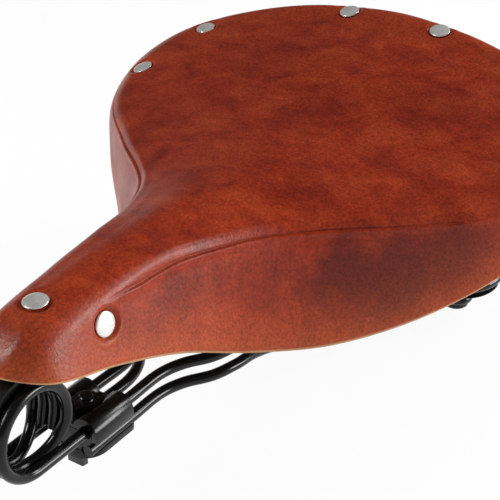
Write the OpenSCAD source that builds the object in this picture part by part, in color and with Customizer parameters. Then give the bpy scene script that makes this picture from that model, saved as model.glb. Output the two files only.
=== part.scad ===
// Sprung leather bicycle saddle on double rails.
// Millimetres. +Z up, nose toward -Y, +X is the rider's left.
// The origin is the underside of the clamp's rocker, on the clamp bolt's axis.

/* [Leather] */
// Length of the leather, from the nose to the rear lip
leather_l = 286; // [270:1:300]
// Width of the leather across the wings
leather_w = 232; // [215:1:250]
// Height of the rear rim above the clamp's underside
rear_h = 103; // [98:1:108]
// Reach of the nose tip forward of the clamp bolt
nose_reach = 46; // [42:1:52]
// Thickness of the leather
leather_t = 4.2; // [3.5:0.1:4.4]
// Depth of the dent that each rivet head sits in
dent_depth = 0.8; // [0.5:0.1:1.2]

/* [Rivets] */
// Diameter of a rivet's head
rivet_head_d = 9.2; // [8:0.1:10]
// Rise of a rivet's domed head
rivet_head_h = 1.3; // [1.1:0.1:2]
// Diameter of a rivet's shank
rivet_shank_d = 4; // [3:0.1:5]
// Diameter of the spread end behind the plate
rivet_tail_d = 6.4; // [5.5:0.1:7]
// Thickness of the spread end
rivet_tail_t = 1; // [0.8:0.1:1.4]

/* [Plates] */
// Thickness of the steel under the nose
nose_plate_t = 1.8; // [1.5:0.1:2]
// Thickness of the cantle plate
cantle_plate_t = 2.5; // [2:0.1:3]
// Depth that the cantle plate drops below the leather away from its rim
cantle_dish = 3; // [2:0.1:5]
// Height of the round boss that each rear spring bolts to
cantle_boss_h = 9; // [7:0.1:12]
// Diameter of the round boss
cantle_boss_d = 26; // [22:0.5:30]

/* [Wire] */
// Diameter of the rail wire
wire_d = 4.6; // [4:0.1:4.6]
// Distance between the coil's neighbouring turns
coil_pitch = 5.1; // [5.1:0.1:5.6]
// Diameter of the nose coil, on the wire's centreline
coil_d = 33; // [31:0.5:34]
// Distance of the coil's axis behind the nose tip
coil_back = 10.7; // [9:0.1:13]
// Distance from the centre plane to each upper rail at the clamp
rail_x = 7.75; // [7.75:0.05:8.5]
// Height of the upper rails at the clamp
upper_rail_z = 19.5; // [18.5:0.1:21]
// Distance between the upper and the lower rails at the clamp
rail_gap = 9; // [8.5:0.5:11]
// Distance from the centre plane to the rails behind their bend
spread_x = 21; // [18:0.5:24]
// Distance from the clamp bolt to the start of the bend
bend_start = 33; // [30:1:36]
// Distance from the clamp bolt to the end of the bend
bend_end = 66; // [60:1:72]

/* [Rear springs] */
// Distance from the centre plane to each spring's axis
spring_x = 54; // [50:0.5:58]
// Distance from the rear lip forward to the springs' axes
spring_inset = 38; // [35:0.5:42]
// Diameter of a spring, on the wire's centreline
spring_d = 38; // [34:0.5:40]
// Diameter of the spring wire
spring_wire_d = 5; // [4.5:0.1:5.4]
// Number of turns
spring_turns = 6.5; // [5.5:0.5:7.5]
// Height of the lower cups' spring face
spring_base_z = -5.5; // [-8:0.5:-4]
// Thickness of a spring cup
cup_t = 2; // [1.5:0.1:3]
// Height of the cup's locating ring
cup_ring_h = 4; // [3:0.5:6]

/* [Fasteners] */
// Diameter of the bolts
bolt_d = 6; // [5:0.1:6]
// Width of a bolt head or nut across its flats
hex_af = 10; // [9:0.1:10]
// Thickness of a bolt head or nut
hex_h = 4; // [3.5:0.1:5]
// Thickness of a washer
washer_t = 1.2; // [1:0.1:1.6]
// Diameter of a washer
washer_d = 12; // [11.6:0.1:13]
// Height of the lower spring bolts' and the clamp bolt's low heads
low_head_h = 2.8; // [2.2:0.1:3.4]
// Distance of the tension bolt below the nose's top
tension_drop = 16; // [15.5:0.1:17]
// Length of the tension bolt's shank
tension_l = 30; // [28:1:36]

/* [Clamp] */
// Length of the clamp's jaws along the rails
jaw_l = 21; // [18:0.5:23]
// Wall round a rail
jaw_wall = 3; // [2.5:0.1:3.4]
// Distance that the upper jaw's walls reach below the upper rails' axes
jaw_reach = 2.8; // [2.6:0.1:4]
// Length of the lower jaw's plate ahead of the clamp bolt
plate_front = 11.3; // [10:0.1:13]
// Length of the lower jaw's plate behind the clamp bolt
plate_rear = 17; // [14:0.5:19]
// Thickness of the lower jaw's plate
plate_t = 4; // [3.6:0.1:4.4]
// Radius of the rocker's underside
rocker_r = 36; // [30:1:50]
// Length of the rocker, on both sides of the clamp bolt together
rocker_l = 25; // [22:0.5:25]
// Length of the rocker ahead of the clamp bolt
rocker_front = 8.3; // [7.5:0.1:9]
// Width of the rocker
rocker_w = 7; // [6:0.5:12]
// Distance that the lower rails' ends stand back from the jaws' front
end_set = 1; // [0:0.1:2]

/* [Fit] */
// Gap between pieces that don't touch
gap = 0.3; // [0.3:0.01:0.35]
// Radial clearance of the tension nut on its bolt
running_gap = 0.05; // [0.03:0.01:0.08]

/* [Hidden] */
$fn = 48;
leather_colour = [0.45, 0.14, 0.07];
wire_colour = [0.05, 0.05, 0.055];
steel_colour = [0.75, 0.75, 0.73];
plate_colour = [0.12, 0.12, 0.13];

// Outline of the leather as stations from the nose to the rear, rider's left side.
// Line along the top, on the centre plane
spine_table = [
    [0, -24, 78.5], [0, -19, 79], [0, -2, 80], [0, 24, 80.5], [0, 50, 80], [0, 76, 79.5],
    [0, 102, 80], [0, 130, 82], [0, 157, 86], [0, 177, 91], [0, 192, 95], [0, 200, 97.5],
    [0, 203, 98.5]
];
// Crease between the top and the side flap
crease_table = [
    [0, -42, 67], [11, -33.5, 71], [13, -4, 75], [15, 28, 76], [24, 58, 71], [42, 88, 66],
    [71, 114, 67], [97, 141, 70], [106, 174, 78], [98, 203, 86], [75, 222, 93],
    [41, 231, 100], [0, 235, 103]
];
// Lower edge of the side flap
skirt_table = [
    [0, -46, 62], [17, -34, 58], [20, -3, 49], [24, 28, 38], [35, 57, 26], [54, 87, 20],
    [78, 116, 26], [103, 143, 44], [116, 173, 63], [106, 205, 78], [79, 226, 83],
    [42, 236, 87], [0, 240, 90]
];
table_nose = min([for (p = skirt_table) p[1]]);
table_rear = max([for (p = skirt_table) p[1]]);
table_half_w = max([for (p = skirt_table) p[0]]);
table_top = max([for (p = crease_table) p[2]]);
long = leather_l / (table_rear - table_nose);
wide = leather_w / 2 / table_half_w;
rise = rear_h - table_top;

function placed(p) = [
    p[0] * wide,
    (p[1] - table_nose) * long - nose_reach,
    p[2] + rise
];
spine_line = [for (p = spine_table) placed(p)];
crease_line = [for (p = crease_table) placed(p)];
skirt_line = [for (p = skirt_table) placed(p)];

function mirrored(p) = [-p[0], p[1], p[2]];
function unit(p) = p / norm(p);
function catmull(a, b, c, d, t) =
    0.5 * (2 * b + (c - a) * t + (2 * a - 5 * b + 4 * c - d) * t * t + (3 * b - a - 3 * c + d) * t * t * t);

// Point at u, from 0 at the nose to 1 at the rear, on one of the three lines
function along(line, u) =
    let (last = len(line) - 1)
    let (s = min(max(u, 0) * last, last - 0.000001))
    let (i = floor(s))
    catmull(
        i > 0 ? line[i - 1] : mirrored(line[1]),
        line[i],
        line[i + 1],
        i < last - 1 ? line[i + 2] : mirrored(line[last - 1]),
        s - i
    );

// Spacing of a rib's control points round the crease, and the shares of the top and flap they may take
crease_round = 8;
top_share = 0.72;
flap_share = 0.82;
// Share of the fall to the crease that the top has made halfway out
crown_share = 0.3;
rib_end = 6;

// Control points of one rib, from the spine over the crease to the flap's lower edge
function rib(u) =
    let (top = along(spine_line, u), edge = along(crease_line, u), low = along(skirt_line, u))
    let (middle = (top + edge) / 2)
    let (a = [middle[0], middle[1], top[2] + (edge[2] - top[2]) * crown_share])
    let (inward = unit(a - edge), down = unit(low - edge))
    let (half = norm(inward - down) / 2)
    let (room = min(norm(a - edge) * top_share, norm(low - edge) * flap_share))
    let (step = min(crease_round, room / (1 + 0.5 / half)))
    let (near = step / (2 * half))
    let (corner = edge - (inward + down) * (near / 2 + step / 48))
    let (start = [0, (6 * top[1] - 2 * a[1]) / 4, (6 * top[2] - 2 * a[2]) / 4])
    [
        mirrored(a), start, a,
        corner + inward * (near + step), corner + inward * near,
        corner + down * near, corner + down * (near + step),
        low, 2 * low - (corner + down * (near + step))
    ];

function spline(q, v) =
    let (i = min(floor(v), len(q) - 4))
    let (t = v - i)
    (q[i] * pow(1 - t, 3)
        + q[i + 1] * (3 * t * t * t - 6 * t * t + 4)
        + q[i + 2] * (-3 * t * t * t + 3 * t * t + 3 * t + 1)
        + q[i + 3] * t * t * t) / 6;

function hide(u, v) = spline(rib(u), v);

// Outward normal of the leather
small = 0.004;
function normal(u, v) =
    let (q = rib(u))
    let (across = v == 0 ? [1, 0, 0] : spline(q, min(v + small, rib_end)) - spline(q, max(v - small, 0)))
    let (on_end = (u <= 0 || u >= 1) && v > 0)
    let (step = hide(min(u + small, 1), v) - hide(max(u - small, 0), v))
    unit(cross(across, on_end ? [u <= 0 ? 1 : -1, 0, 0] : step));

function below(u, v, side, depth) =
    let (p = hide(u, v) - normal(u, v) * depth)
    [side * p[0], p[1], p[2]];
// The same depth, reached halfway between the normal and straight down
function under(u, v, side, depth) =
    let (n = normal(u, v))
    let (way = unit([n[0], n[1], n[2] + 1]))
    let (p = hide(u, v) - way * (depth / (n * way)))
    [side * p[0], p[1], p[2]];

rib_steps = [0, 0.5, 1, 1.5, 2, 2.5, 3, 3.5, 4, 4.5, 5.2, 6];
stations = 24;

// A shell between two depths below the leather's outer face.
// rows are [u, side]; place gives a point; shared joins the two sides along the spine; closed joins the last row to the first.
module hide_shell(rows, steps, place, outer, inner, shared, closed) {
    n = len(rows);
    m = len(steps);
    points = [
        for (r = rows) for (v = steps) for (f = [outer, inner]) place(r[0], v, r[1], f(v))
    ];
    function twin(r) = closed ? min(r % n, (n - r % n) % n) : min(r, n - 1 - r);
    function id(r, j, s) = ((shared && j == 0 ? twin(r) : r % n) * m + j) * 2 + s;
    function quad(a, b, c, d) = [[a, b, c], [a, c, d]];
    rounds = closed ? n : n - 1;
    faces = [
        for (r = [0:rounds - 1]) for (j = [0:m - 2]) for (f = concat(
            quad(id(r, j, 0), id(r + 1, j, 0), id(r + 1, j + 1, 0), id(r, j + 1, 0)),
            quad(id(r, j + 1, 1), id(r + 1, j + 1, 1), id(r + 1, j, 1), id(r, j, 1))
        )) f,
        for (r = [0:rounds - 1])
            for (f = quad(id(r, m - 1, 0), id(r + 1, m - 1, 0), id(r + 1, m - 1, 1), id(r, m - 1, 1))) f,
        if (!shared) for (r = [0:rounds - 1])
            for (f = quad(id(r + 1, 0, 0), id(r, 0, 0), id(r, 0, 1), id(r + 1, 0, 1))) f,
        if (!closed) for (j = [0:m - 2]) for (f = concat(
            quad(id(0, j, 0), id(0, j + 1, 0), id(0, j + 1, 1), id(0, j, 1)),
            quad(id(n - 1, j + 1, 0), id(n - 1, j, 0), id(n - 1, j, 1), id(n - 1, j + 1, 1))
        )) f
    ];
    polyhedron(points, faces, convexity = 10);
}

// Places children on the leather, with Z along its outward normal
module on_hide(u, v, side) {
    p = below(u, v, side, 0);
    n0 = normal(u, v);
    z = [side * n0[0], n0[1], n0[2]];
    x = unit(cross([0, 1, 0.01], z));
    y = cross(z, x);
    multmatrix([
        [x[0], y[0], z[0], p[0]],
        [x[1], y[1], z[1], p[1]],
        [x[2], y[2], z[2], p[2]]
    ]) children();
}

// Rivets, as [u, v, side]
nose_rivet_places = [[0.063, 0, 1], [0.165, 5.15, 1], [0.165, 5.15, -1]];
cantle_rivet_places = [
    for (side = [1, -1]) for (p = [[0.943, 2.3], [0.757, 2.45], [0.645, 2.7]]) [p[0], p[1], side]
];
all_rivet_places = concat(nose_rivet_places, cantle_rivet_places);

module rivet(stack) {
    bottom = -dent_depth - stack;
    dome_r = (pow(rivet_head_d / 2, 2) + pow(rivet_head_h, 2)) / (2 * rivet_head_h);
    intersection() {
        translate([0, 0, rivet_head_h - dent_depth - dome_r]) sphere(r = dome_r);
        translate([0, 0, -dent_depth]) cylinder(d = rivet_head_d, h = rivet_head_h);
    }
    translate([0, 0, bottom]) cylinder(d = rivet_shank_d, h = stack);
    translate([0, 0, bottom - rivet_tail_t]) cylinder(d = rivet_tail_d, h = rivet_tail_t);
}

module rivet_holes(places) {
    for (p = places) on_hide(p[0], p[1], p[2])
        translate([0, 0, -20]) cylinder(d = rivet_shank_d + 2 * gap, h = 30);
}

normal_down = function(u, v, side, depth) below(u, v, side, depth);
half_down = function(u, v, side, depth) under(u, v, side, depth);

// The leather
leather_rows = concat(
    [for (i = [0:stations]) [i / stations, 1]],
    [for (i = [stations - 1:-1:1]) [i / stations, -1]]
);
module leather_top() {
    color(leather_colour) difference() {
        hide_shell(leather_rows, rib_steps, normal_down, function(v) 0, function(v) leather_t, true, true);
        rivet_holes(all_rivet_places);
        for (p = all_rivet_places) on_hide(p[0], p[1], p[2])
            translate([0, 0, -dent_depth]) cylinder(d = rivet_head_d + 2 * gap, h = 10);
    }
}

// Steel cap under the nose
nose_rows_n = 5;
nose_steps = [0, 0.5, 1, 1.5, 2, 2.5, 3, 3.5, 4, 4.5, 5, 5.5];
nose_depth = leather_t + gap;
module nose_bracket() {
    rows = concat(
        [for (i = [nose_rows_n:-1:1]) [i / stations, -1]],
        [for (i = [0:nose_rows_n]) [i / stations, 1]]
    );
    color(plate_colour) difference() {
        hide_shell(
            rows, nose_steps, normal_down, function(v) nose_depth, function(v) nose_depth + nose_plate_t,
            true, false
        );
        rivet_holes(nose_rivet_places);
    }
}

// Cantle plate, dished below its rim, with a boss over each spring
cantle_first = 14;
cantle_steps = [0.4, 0.8, 1.2, 1.6, 2, 2.4, 2.8, 3.15];
rim_v = 1.9;
function dished(v) = let (t = min(max(rim_v - v, 0), 1)) cantle_dish * t * t * (3 - 2 * t);
cantle_gap = 1.5 * gap;
function cantle_depth(v) = leather_t + cantle_gap + dished(v);
spring_y = leather_l - nose_reach - spring_inset;
search = [
    for (u = [0.7:0.01:0.95]) for (v = [0.6:0.05:2.4])
        let (p = under(u, v, 1, cantle_depth(v) + cantle_plate_t / 2))
        [norm([p[0] - spring_x, p[1] - spring_y]), u, v, p[2]]
];
nearest = min([for (s = search) s[0]]);
over_spring = [for (s = search) if (s[0] == nearest) s][0];
boss_z = over_spring[3] - cantle_boss_h;
module cantle_plate() {
    rows = concat(
        [for (i = [cantle_first:stations]) [i / stations, 1]],
        [for (i = [stations - 1:-1:cantle_first]) [i / stations, -1]]
    );
    color(plate_colour) difference() {
        union() {
            hide_shell(
                rows, cantle_steps, half_down,
                function(v) cantle_depth(v), function(v) cantle_depth(v) + cantle_plate_t,
                false, false
            );
            for (side = [1, -1]) intersection() {
                translate([side * spring_x, spring_y, boss_z])
                    cylinder(d = cantle_boss_d, h = 3 * cantle_boss_h);
                on_hide(over_spring[1], over_spring[2], side)
                    translate([0, 0, -cantle_depth(over_spring[2]) - cantle_plate_t / 2 - 3 * cantle_boss_h])
                        cylinder(d = 2 * cantle_boss_d, h = 3 * cantle_boss_h);
            }
        }
        rivet_holes(cantle_rivet_places);
        for (side = [1, -1]) translate([side * spring_x, spring_y, boss_z - 1])
            cylinder(d = bolt_d + 2 * gap, h = 3 * cantle_boss_h);
    }
}

// Extra depth of a rivet's spread end, because the steel behind it is hollow
nose_tail_drop = 1.1;
cantle_tail_drop = 0.3;
module nose_rivets() {
    color(steel_colour) for (p = nose_rivet_places) on_hide(p[0], p[1], p[2])
        rivet(leather_t + gap + nose_plate_t + gap + nose_tail_drop - dent_depth);
}

module cantle_rivets() {
    color(steel_colour) for (p = cantle_rivet_places) on_hide(p[0], p[1], p[2])
        rivet(cantle_depth(p[1]) + cantle_plate_t + gap + cantle_tail_drop - dent_depth);
}

// Nose coil and its shackle
coil_y = coil_back - nose_reach;
coil_r = coil_d / 2;
coil_z = upper_rail_z + coil_r;
shackle_in = coil_r + wire_d / 2 + gap;
shackle_t = 2.2;
shackle_w = 10;
shackle_from = 30;
shackle_to = 213;
bolt_z = along(spine_line, 0)[2] - tension_drop;
lug_y = coil_y + 15.5;
lug_t = 6;
lug_w = shackle_w + 1;

// Turns children from the XY plane to the YZ plane, with Z along X
module side_on() {
    multmatrix([[0, 0, 1, 0], [1, 0, 0, 0], [0, 1, 0, 0]]) children();
}

module along_y() {
    rotate([-90, 0, 0]) children();
}

module coil_shackle() {
    color(plate_colour) difference() {
        union() {
            translate([0, coil_y, coil_z]) side_on() rotate([0, 0, shackle_from])
                rotate_extrude(angle = shackle_to - shackle_from)
                    translate([shackle_in, -shackle_w / 2]) square([shackle_t, shackle_w]);
            difference() {
                translate([-lug_w / 2, lug_y, coil_z + 8])
                    cube([lug_w, lug_t, bolt_z + lug_w / 2 - coil_z - 8]);
                translate([0, coil_y, coil_z]) side_on()
                    cylinder(r = shackle_in + shackle_t / 2, h = 2 * shackle_w, center = true);
            }
        }
        translate([0, lug_y - 1, bolt_z]) along_y() cylinder(d = bolt_d + 2 * gap, h = lug_t + 2);
    }
}

// Tension bolt: its round tip bears on the inside of the nose
tip_r = bolt_d / 2;
tip_search = [
    for (v = [1.5:0.02:5.4])
        let (p = below(0, v, 1, nose_depth + nose_plate_t + gap + tip_r))
        [abs(p[2] - bolt_z), p[1]]
];
tip_nearest = min([for (s = tip_search) s[0]]);
tip_y = [for (s = tip_search) if (s[0] == tip_nearest) s][0][1];
module tension_bolt() {
    color(steel_colour) translate([0, tip_y, bolt_z]) {
        sphere(r = tip_r);
        along_y() cylinder(d = bolt_d, h = tension_l);
    }
}

module hex(h) {
    cylinder(r = hex_af / 2 / cos(30), h = h, $fn = 6);
}

module tension_nut() {
    color(steel_colour) translate([0, lug_y - gap - hex_h, bolt_z]) along_y() difference() {
        hex(hex_h);
        translate([0, 0, -1]) cylinder(d = bolt_d + 2 * running_gap, h = hex_h + 2);
    }
}

// A round tube swept along a path, with straight caps
function heading(path, i) = unit(path[min(i + 1, len(path) - 1)] - path[max(i - 1, 0)]);
function sideways(n, t) = unit(n - t * (n * t));
module tube(path, d, sides, first) {
    count = len(path);
    normals = [
        for (i = 0, n = sideways(first, heading(path, 0)); i < count;
            i = i + 1, n = sideways(n, heading(path, min(i, count - 1)))) n
    ];
    points = [
        for (i = [0:count - 1]) for (k = [0:sides - 1])
            let (a = 360 * k / sides, t = heading(path, i))
            path[i] + d / 2 * (cos(a) * normals[i] + sin(a) * cross(t, normals[i]))
    ];
    faces = [
        for (i = [0:count - 2]) for (k = [0:sides - 1])
            let (a = i * sides + k, b = i * sides + (k + 1) % sides)
            for (f = [[a, a + sides, b + sides], [a, b + sides, b]]) f,
        for (k = [1:sides - 2]) for (f = [
            [0, k, k + 1],
            [(count - 1) * sides, (count - 1) * sides + k + 1, (count - 1) * sides + k]
        ]) f
    ];
    polyhedron(points, faces, convexity = 10);
}

// A smooth line through hand-set points
function smooth(p, n) = [
    for (i = [0:len(p) - 2]) for (k = [0:n - 1])
        catmull(p[max(i - 1, 0)], p[i], p[i + 1], p[min(i + 2, len(p) - 1)], k / n),
    p[len(p) - 1]
];
function reversed(p) = [for (i = [len(p) - 1:-1:0]) p[i]];
function sided(p, side) = [for (q = p) [side * q[0], q[1], q[2]]];

// Rails: the route from the clamp to the eye round the spring's bolt
eye_r = bolt_d / 2 + gap + wire_d / 2;
upper_eye_z = spring_base_z - cup_t - gap - wire_d / 2;
lower_eye_z = upper_eye_z - wire_d - gap;
lower_rail_z = upper_rail_z - rail_gap;
route_n = 3;
// Shares of the way from the bend to the spring, and of the way outward and down on it
outward = [
    [0.12, 0.04, 0.08], [0.35, 0.22, 0.4], [0.6, 0.55, 0.8], [0.74, 0.76, 0.97], [0.84, 0.93, 1]
];
function rail_route(z, eye_z) =
    let (bend = bend_end - bend_start, inner_x = spring_x - eye_r)
    concat(
        [
            [rail_x, 0, z],
            [rail_x, bend_start / 2, z],
            [rail_x, bend_start, z],
            [rail_x + 0.25 * (spread_x - rail_x), bend_start + 0.34 * bend, z],
            [rail_x + 0.75 * (spread_x - rail_x), bend_start + 0.66 * bend, z],
            [spread_x, bend_end, z]
        ],
        [for (s = outward) [
            spread_x + s[1] * (inner_x - spread_x),
            bend_end + s[0] * (spring_y - bend_end),
            z + s[2] * (eye_z - z)
        ]],
        [
            [inner_x, spring_y - 2 * wire_d, eye_z],
            [inner_x, spring_y - wire_d / 2, eye_z]
        ]
    );
function eye_path(z) = [
    for (a = [180:-22.5:-90]) [spring_x + eye_r * cos(a), spring_y + eye_r * sin(a), z],
    [spring_x - wire_d, spring_y - eye_r, z]
];

// Nose coil: two turns of each rail, the outer and then the inner, with one step between them
coil_turns = 1.8;
coil_loop_rings = 24;
step_from = 0.8;
coil_rings = round(coil_turns * coil_loop_rings);
outer_turn_x = coil_pitch * 1.5;
inner_turn_x = coil_pitch / 2;
function coil_x(k) =
    k < 0.75 ? rail_x + (outer_turn_x - rail_x) * k / 0.75 :
    k < step_from ? outer_turn_x :
    k < 1 ? outer_turn_x + (inner_turn_x - outer_turn_x) * (k - step_from) / (1 - step_from) :
    inner_turn_x;
function coil_point(k) = [
    coil_x(k),
    coil_y - coil_r * sin(360 * k),
    coil_z - coil_r * cos(360 * k)
];
coil_path = [for (i = [0:coil_rings]) coil_point(i / coil_loop_rings)];
coil_way = unit(coil_path[coil_rings] - coil_path[coil_rings - 1]);
upper_path = concat(
    [coil_path[coil_rings] + coil_way * wire_d],
    reversed(coil_path),
    smooth([[rail_x, coil_y + 8, upper_rail_z], [rail_x, coil_y + 18, upper_rail_z]], 1),
    smooth(rail_route(upper_rail_z, upper_eye_z), route_n),
    eye_path(upper_eye_z)
);
lower_front = end_set - jaw_l / 2;
lower_path = concat(
    [[rail_x, lower_front, lower_rail_z], [rail_x, lower_front + wire_d, lower_rail_z]],
    smooth(rail_route(lower_rail_z, lower_eye_z), route_n),
    eye_path(lower_eye_z)
);
wire_sides = 6;

module upper_rail(side) {
    color(wire_colour) tube(sided(upper_path, side), wire_d, wire_sides, [0, 0, 1]);
}

module lower_rail(side) {
    color(wire_colour) tube(sided(lower_path, side), wire_d, wire_sides, [0, 0, 1]);
}

// Rear springs, with a close turn at each end
spring_top_z = boss_z - cup_t;
spring_h = spring_top_z - spring_base_z - spring_wire_d - 2 * gap;
end_pitch = spring_wire_d + 0.6;
spring_curl_rings = 8;
spring_rings = spring_turns * spring_curl_rings;
function spring_rise(k) =
    k < 1 ? k * end_pitch :
    k > spring_turns - 1 ? spring_h - (spring_turns - k) * end_pitch :
    end_pitch + (k - 1) * (spring_h - 2 * end_pitch) / (spring_turns - 2);
spring_curl = [
    for (i = [0:spring_rings])
        let (k = i / spring_curl_rings)
        [
            spring_x + spring_d / 2 * cos(360 * k + 150),
            spring_y + spring_d / 2 * sin(360 * k + 150),
            spring_base_z + gap + spring_wire_d / 2 + spring_rise(k)
        ]
];
function level(p) = unit([p[0], p[1], 0]);
spring_path = concat(
    [spring_curl[0] - level(spring_curl[1] - spring_curl[0]) * spring_wire_d],
    spring_curl,
    [spring_curl[spring_rings] + level(spring_curl[spring_rings] - spring_curl[spring_rings - 1]) * spring_wire_d]
);

module rear_spring(side) {
    color(wire_colour) tube(sided(spring_path, side), spring_wire_d, 6, [1, 0, 0]);
}

// Least gap of a wound tube to itself, between points more than a third of a turn apart
function self_gap(path, d, apart) = min([
    for (i = [0:len(path) - 1]) for (j = [i + apart:1:len(path) - 1]) norm(path[i] - path[j])
]) - d;
echo(coil_self_gap = self_gap(coil_path, wire_d, 10));
echo(spring_self_gap = self_gap(spring_curl, spring_wire_d, 4));

// Spring cups: a tapered flange, and a ring that clears the flats of the spring's inside
cup_d = spring_d;
cup_foot_d = cup_d - 7;
cup_ring_d = spring_d * cos(180 / spring_curl_rings) - spring_wire_d - 2 * gap;
cup_ring_wall = 2;
module cup() {
    difference() {
        union() {
            cylinder(d1 = cup_foot_d, d2 = cup_d, h = cup_t);
            cylinder(d = cup_ring_d, h = cup_t + cup_ring_h);
        }
        translate([0, 0, cup_t]) cylinder(d = cup_ring_d - 2 * cup_ring_wall, h = cup_ring_h + 1);
        translate([0, 0, -1]) cylinder(d = bolt_d + 2 * gap, h = cup_t + 2);
    }
}

module lower_spring_cup(side) {
    color(plate_colour) translate([side * spring_x, spring_y, spring_base_z - cup_t]) cup();
}

module upper_spring_cup(side) {
    color(plate_colour) translate([side * spring_x, spring_y, boss_z]) mirror([0, 0, 1]) cup();
}

module upper_spring_bolts() {
    color(steel_colour) for (side = [1, -1])
        translate([side * spring_x, spring_y, boss_z - cup_t - hex_h]) {
            hex(hex_h);
            cylinder(d = bolt_d, h = hex_h + cup_t + cantle_boss_h);
        }
}

// Each lower bolt has a low head under the rails' eyes, and its washer and nut inside the cup
lower_head_z = lower_eye_z - wire_d / 2 - gap - low_head_h;
lower_nut_z = spring_base_z + washer_t;
module lower_spring_bolts() {
    color(plate_colour) for (side = [1, -1]) translate([side * spring_x, spring_y, lower_head_z]) {
        cylinder(d = washer_d, h = low_head_h);
        cylinder(d = bolt_d, h = lower_nut_z + hex_h + 1 - lower_head_z);
    }
}

module washer() {
    difference() {
        cylinder(d = washer_d, h = washer_t);
        translate([0, 0, -1]) cylinder(d = bolt_d + 2 * gap, h = washer_t + 2);
    }
}

module nut() {
    difference() {
        hex(hex_h);
        translate([0, 0, -1]) cylinder(d = bolt_d + 2 * running_gap, h = hex_h + 2);
    }
}

module lower_spring_washers() {
    color(steel_colour) for (side = [1, -1])
        translate([side * spring_x, spring_y, spring_base_z]) washer();
}

module lower_spring_nuts() {
    color(steel_colour) for (side = [1, -1])
        translate([side * spring_x, spring_y, lower_nut_z]) nut();
}

// Clamp: three jaws round the four rails, on one bolt
groove_r = wire_d / 2 + gap;
barrel_r = groove_r + jaw_wall;
block_half_w = rail_x + groove_r + 0.4;
jaw_split = upper_rail_z - jaw_reach;
neck_half_w = rail_x + 0.5;
plate_bottom = lower_rail_z - plate_t;
web_top = upper_rail_z + 1.8;
middle_bottom = lower_rail_z + gap;
module grooves(z, l) {
    for (side = [1, -1]) translate([side * rail_x, -l / 2, z]) along_y() cylinder(r = groove_r, h = l);
}

module bolt_hole() {
    translate([0, 0, -20]) cylinder(d = bolt_d + 2 * gap, h = 80);
}

module clamp_upper_jaw() {
    color(wire_colour) difference() {
        union() {
            for (side = [1, -1]) {
                translate([side * rail_x, -jaw_l / 2, upper_rail_z]) along_y() cylinder(r = barrel_r, h = jaw_l);
                translate([side * rail_x - barrel_r, -jaw_l / 2, jaw_split])
                    cube([2 * barrel_r, jaw_l, upper_rail_z - jaw_split]);
            }
            translate([-rail_x, -jaw_l / 2, upper_rail_z]) cube([2 * rail_x, jaw_l, web_top - upper_rail_z]);
        }
        translate([-block_half_w - gap, -jaw_l, jaw_split - 20])
            cube([2 * (block_half_w + gap), 2 * jaw_l, upper_rail_z + gap - jaw_split + 20]);
        translate([-rail_x - barrel_r - 1, -jaw_l, jaw_split - 20])
            cube([2 * (rail_x + barrel_r + 1), 2 * jaw_l, 20]);
        grooves(upper_rail_z, 2 * jaw_l);
        translate([0, 0, web_top]) cylinder(d = washer_d + 1, h = 20);
        bolt_hole();
    }
}

module clamp_middle_jaw() {
    color(wire_colour) difference() {
        union() {
            translate([-neck_half_w, -jaw_l / 2, middle_bottom])
                cube([2 * neck_half_w, jaw_l, jaw_split - middle_bottom]);
            translate([-block_half_w, -jaw_l / 2, jaw_split])
                cube([2 * block_half_w, jaw_l, upper_rail_z - jaw_split]);
        }
        grooves(upper_rail_z, 2 * jaw_l);
        grooves(lower_rail_z, 2 * jaw_l);
        bolt_hole();
    }
}

// The lower jaw's plate: round ahead of the bolt, with small corners behind it
plate_half_w = block_half_w - 0.75;
front_corner = plate_half_w - 0.5;
rear_corner = 4;
module lower_plate() {
    translate([0, 0, plate_bottom]) hull() for (side = [1, -1]) {
        translate([side * (plate_half_w - front_corner), front_corner - plate_front, 0])
            cylinder(r = front_corner, h = plate_t, $fn = 64);
        translate([side * (plate_half_w - rear_corner), plate_rear - rear_corner, 0])
            cylinder(r = rear_corner, h = plate_t, $fn = 32);
    }
}

// The rocker stands under the plate, ahead of and behind the bolt's head
module rocker() {
    difference() {
        intersection() {
            translate([0, 0, rocker_r]) side_on() cylinder(r = rocker_r, h = rocker_w, center = true, $fn = 96);
            translate([-rocker_w, -rocker_front, 0]) cube([2 * rocker_w, rocker_l, plate_bottom + plate_t / 2]);
        }
        cylinder(d = washer_d + 2 * gap, h = plate_bottom);
    }
}

module clamp_lower_jaw() {
    color(wire_colour) difference() {
        union() {
            lower_plate();
            rocker();
        }
        for (side = [1, -1]) {
            translate([side * rail_x, -jaw_l, lower_rail_z]) along_y() cylinder(r = groove_r, h = 2 * jaw_l);
        }
        bolt_hole();
    }
}

clamp_head_z = plate_bottom - washer_t - low_head_h;
clamp_bolt_top = web_top + hex_h + 1.5;
module clamp_bolt() {
    color(steel_colour) {
        translate([0, 0, clamp_head_z]) hex(low_head_h);
        translate([0, 0, clamp_head_z]) cylinder(d = bolt_d, h = clamp_bolt_top - clamp_head_z);
    }
}

module clamp_washer() {
    color(steel_colour) translate([0, 0, plate_bottom - washer_t]) washer();
}

module clamp_nut() {
    color(steel_colour) translate([0, 0, web_top]) nut();
}

leather_top();
nose_bracket();
cantle_plate();
nose_rivets();
cantle_rivets();
coil_shackle();
tension_bolt();
tension_nut();
upper_spring_cup(1);  // upper_spring_cup_left
upper_spring_cup(-1);  // upper_spring_cup_right
upper_spring_bolts();
upper_rail(1);  // upper_rail_left
upper_rail(-1);  // upper_rail_right
lower_rail(1);  // lower_rail_left
lower_rail(-1);  // lower_rail_right
rear_spring(1);  // rear_spring_left
rear_spring(-1);  // rear_spring_right
lower_spring_cup(1);  // lower_spring_cup_left
lower_spring_cup(-1);  // lower_spring_cup_right
lower_spring_bolts();
lower_spring_washers();
lower_spring_nuts();
clamp_upper_jaw();
clamp_middle_jaw();
clamp_lower_jaw();
clamp_bolt();
clamp_washer();
clamp_nut();
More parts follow.
